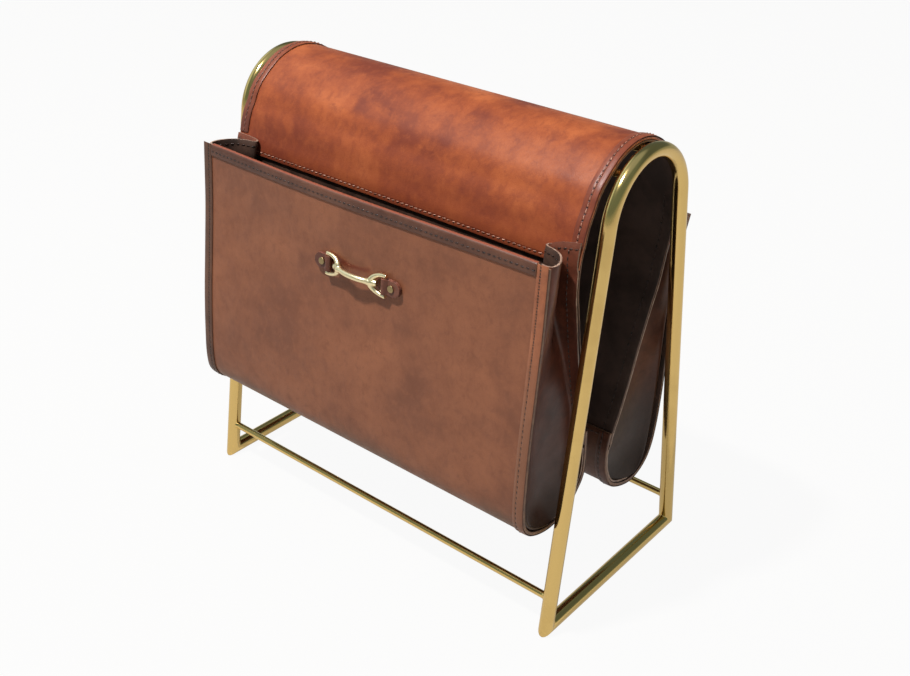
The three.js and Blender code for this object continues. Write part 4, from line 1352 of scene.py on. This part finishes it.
def bit_wires():
    """The bar, and the shackle and pin at each of its ends."""
    half = PIN_SPAN / 2 - SHACKLE_DEPTH + BAR_STUB
    collar = (PIN_SPAN / 2 - SHACKLE_DEPTH) / half
    shares = np.linspace(-1, 1, WIRE_STEPS + 1)
    points = [(u * half, pin_y - HANDLE_BOW * math.cos(u * math.pi / 2), 0) for u in shares]
    radii = []
    for u in np.abs(shares):
        swell = math.exp(-((u - collar + COLLAR_INSET) / COLLAR_SPREAD) ** 2)
        base = BAR_RADIUS if u < collar else STUB_RADIUS
        radii.append(base + (COLLAR_RADIUS - base) * swell)
    wires = [wire("bit_bar", points, radii)]
    for side in (-1, 1):
        points, radii = [], []
        for turn in np.linspace(-math.pi / 2, math.pi / 2, WIRE_STEPS + 1):
            near = math.cos(turn)
            points.append((side * (PIN_SPAN / 2 - SHACKLE_DEPTH * near),
                           pin_y - SHACKLE_BOW * HANDLE_BOW * near ** 3,
                           SHACKLE_HEIGHT / 2 * math.sin(turn)))
            radii.append(SHACKLE_RADIUS + (SHACKLE_KNUCKLE - SHACKLE_RADIUS) * near ** 4)
        wires.append(wire("bit_shackle", points, radii))
        ends = [(side * PIN_SPAN / 2, pin_y, k * SHACKLE_HEIGHT / 2) for k in (-1, 1)]
        wires.append(wire("bit_pin", ends, [PIN_RADIUS] * 2))
        for end in ends:
            stub = [(end[0] + side * k, end[1], end[2]) for k in (-0.001, SHACKLE_RADIUS)]
            wires.append(wire("bit_eye", stub, [SHACKLE_RADIUS] * 2))
    return wires


bit = joined("bit", bit_wires())
bit.data.remesh_voxel_size = BIT_VOXEL
bpy.ops.object.voxel_remesh()
modified(bit, "SMOOTH", factor=0.5, iterations=5)
bit.data.transform(handle_place)
bit.data.shade_smooth()
bit.data.materials.append(PALE_BRASS)
dress(bit, "saddlebag", "pale_brass", "handle_bit")
print("bit has", len(bit.data.polygons), "faces")

# %% Tabs and rivets
RIVET_SPAN = 0.077
TAB_OVERHANG = 0.0086
RIVET_HEAD_RADIUS = 0.0031
RIVET_HEAD_HEIGHT = 0.0011
RIVET_SHANK_RADIUS = 0.0015
RIVET_TAIL_RADIUS = 0.003
RIVET_TAIL_HEIGHT = 0.0008
RIVET_SIDES = 40
RIVET_ROUND = 0.0005
RIVET_ROUND_SHARE = 0.45
SLING_THICKNESS = 0.0028
TAB_CELLS = (72, 14)
TAB_TIP = 0.0004
TAB_BEND_END = math.pi * 1.75
TAB_FLAT_POINTS, TAB_BEND_POINTS = 12, 24
tab_leather = leather("tab_leather", (120, 74, 57), (102, 58, 45), (70, 39, 31), gloss=(0.30, 0.42))
tab_edge = plain_leather("tab_edge", (150, 88, 70), (96, 52, 42), 160, 0.36)


def tab_line():
    """Section of a tab: from its back end, round the pin, to its front end."""
    back = -(SEAT_GAP + TAB_THICKNESS / 2)
    front = back - TAB_THICKNESS - SEAT_GAP
    radius = pin_y - back
    end = RIVET_SPAN / 2 + TAB_OVERHANG
    pin_x = PIN_SPAN / 2
    points = [(x, back) for x in np.linspace(end, pin_x, TAB_FLAT_POINTS, endpoint=False)]
    for turn in np.linspace(math.pi / 2, TAB_BEND_END, TAB_BEND_POINTS):
        points.append((pin_x + abs(radius) * math.cos(turn), pin_y + abs(radius) * math.sin(turn)))
    bend = points[-1][0] + abs(front - points[-1][1])
    points += [(x, front) for x in np.linspace(bend, end, TAB_FLAT_POINTS)]
    return np.array(points)


def tab(name, side):
    """A strip folded round the pin, with both ends cut round."""
    line = tab_line()
    length = runs(line)[-1]
    piece = flat_cut(name, length, TAB_WIDTH, *TAB_CELLS)
    share = coordinates(piece)[:, :2] + 0.5
    along = share[:, 0] * length
    gap = np.clip(np.minimum(along, length - along), TAB_TIP, TAB_WIDTH / 2) / (TAB_WIDTH / 2)
    half = TAB_WIDTH / 2 * np.sqrt(1 - (1 - gap) ** 2)
    spot = point_at(line, along)
    place_vertices(piece, np.column_stack([side * spot[:, 0], spot[:, 1], (share[:, 1] * 2 - 1) * half]))
    alone(piece)
    bpy.ops.object.mode_set(mode="EDIT")
    bpy.ops.mesh.select_all(action="SELECT")
    bpy.ops.mesh.normals_make_consistent(inside=False)
    bpy.ops.object.mode_set(mode="OBJECT")
    front = min(piece.data.polygons, key=lambda face: face.center.y)
    if front.normal.y > 0:
        piece.data.flip_normals()
    thickened(piece, TAB_THICKNESS, (tab_leather, FLESH_SIDE, tab_edge), offset=0, edge_round=0.0003)
    piece.data.transform(handle_place)
    return piece


def rivet(name, x):
    """A low domed head outside, a shank through the leather, and a flat tail."""
    head = -(3 * SEAT_GAP + 2 * TAB_THICKNESS)
    tail = SLING_THICKNESS + SEAT_GAP
    made = []
    for radius, start, end in ((RIVET_HEAD_RADIUS, head - RIVET_HEAD_HEIGHT, head),
                               (RIVET_SHANK_RADIUS, head, tail),
                               (RIVET_TAIL_RADIUS, tail, tail + RIVET_TAIL_HEIGHT)):
        disc = primitive(name, bpy.ops.mesh.primitive_cylinder_add, vertices=RIVET_SIDES, radius=radius,
                         depth=end - start, location=(x, (start + end) / 2, 0), rotation=(math.pi / 2, 0, 0))
        if radius != RIVET_SHANK_RADIUS:
            modified(disc, "BEVEL", width=min(RIVET_ROUND, (end - start) * RIVET_ROUND_SHARE), segments=4)
        made.append(disc)
    piece = joined(name, made)
    bpy.ops.object.shade_smooth_by_angle(angle=ROUND_ANGLE)
    piece.data.transform(handle_place)
    piece.data.materials.append(DULL_BRASS)
    return piece


for side, name in SIDES:
    dress(tab(f"{name}_tab", side), "saddlebag", "trim_leather", f"handle_{name}_tab")
    dress(rivet(f"{name}_rivet", side * RIVET_SPAN / 2), "saddlebag", "pale_brass", f"handle_{name}_rivet")

# %% [markdown]
# ## Finish
#
# The last line measures the box around everything that renders, the floor aside.

# %% Size and finish
low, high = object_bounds()
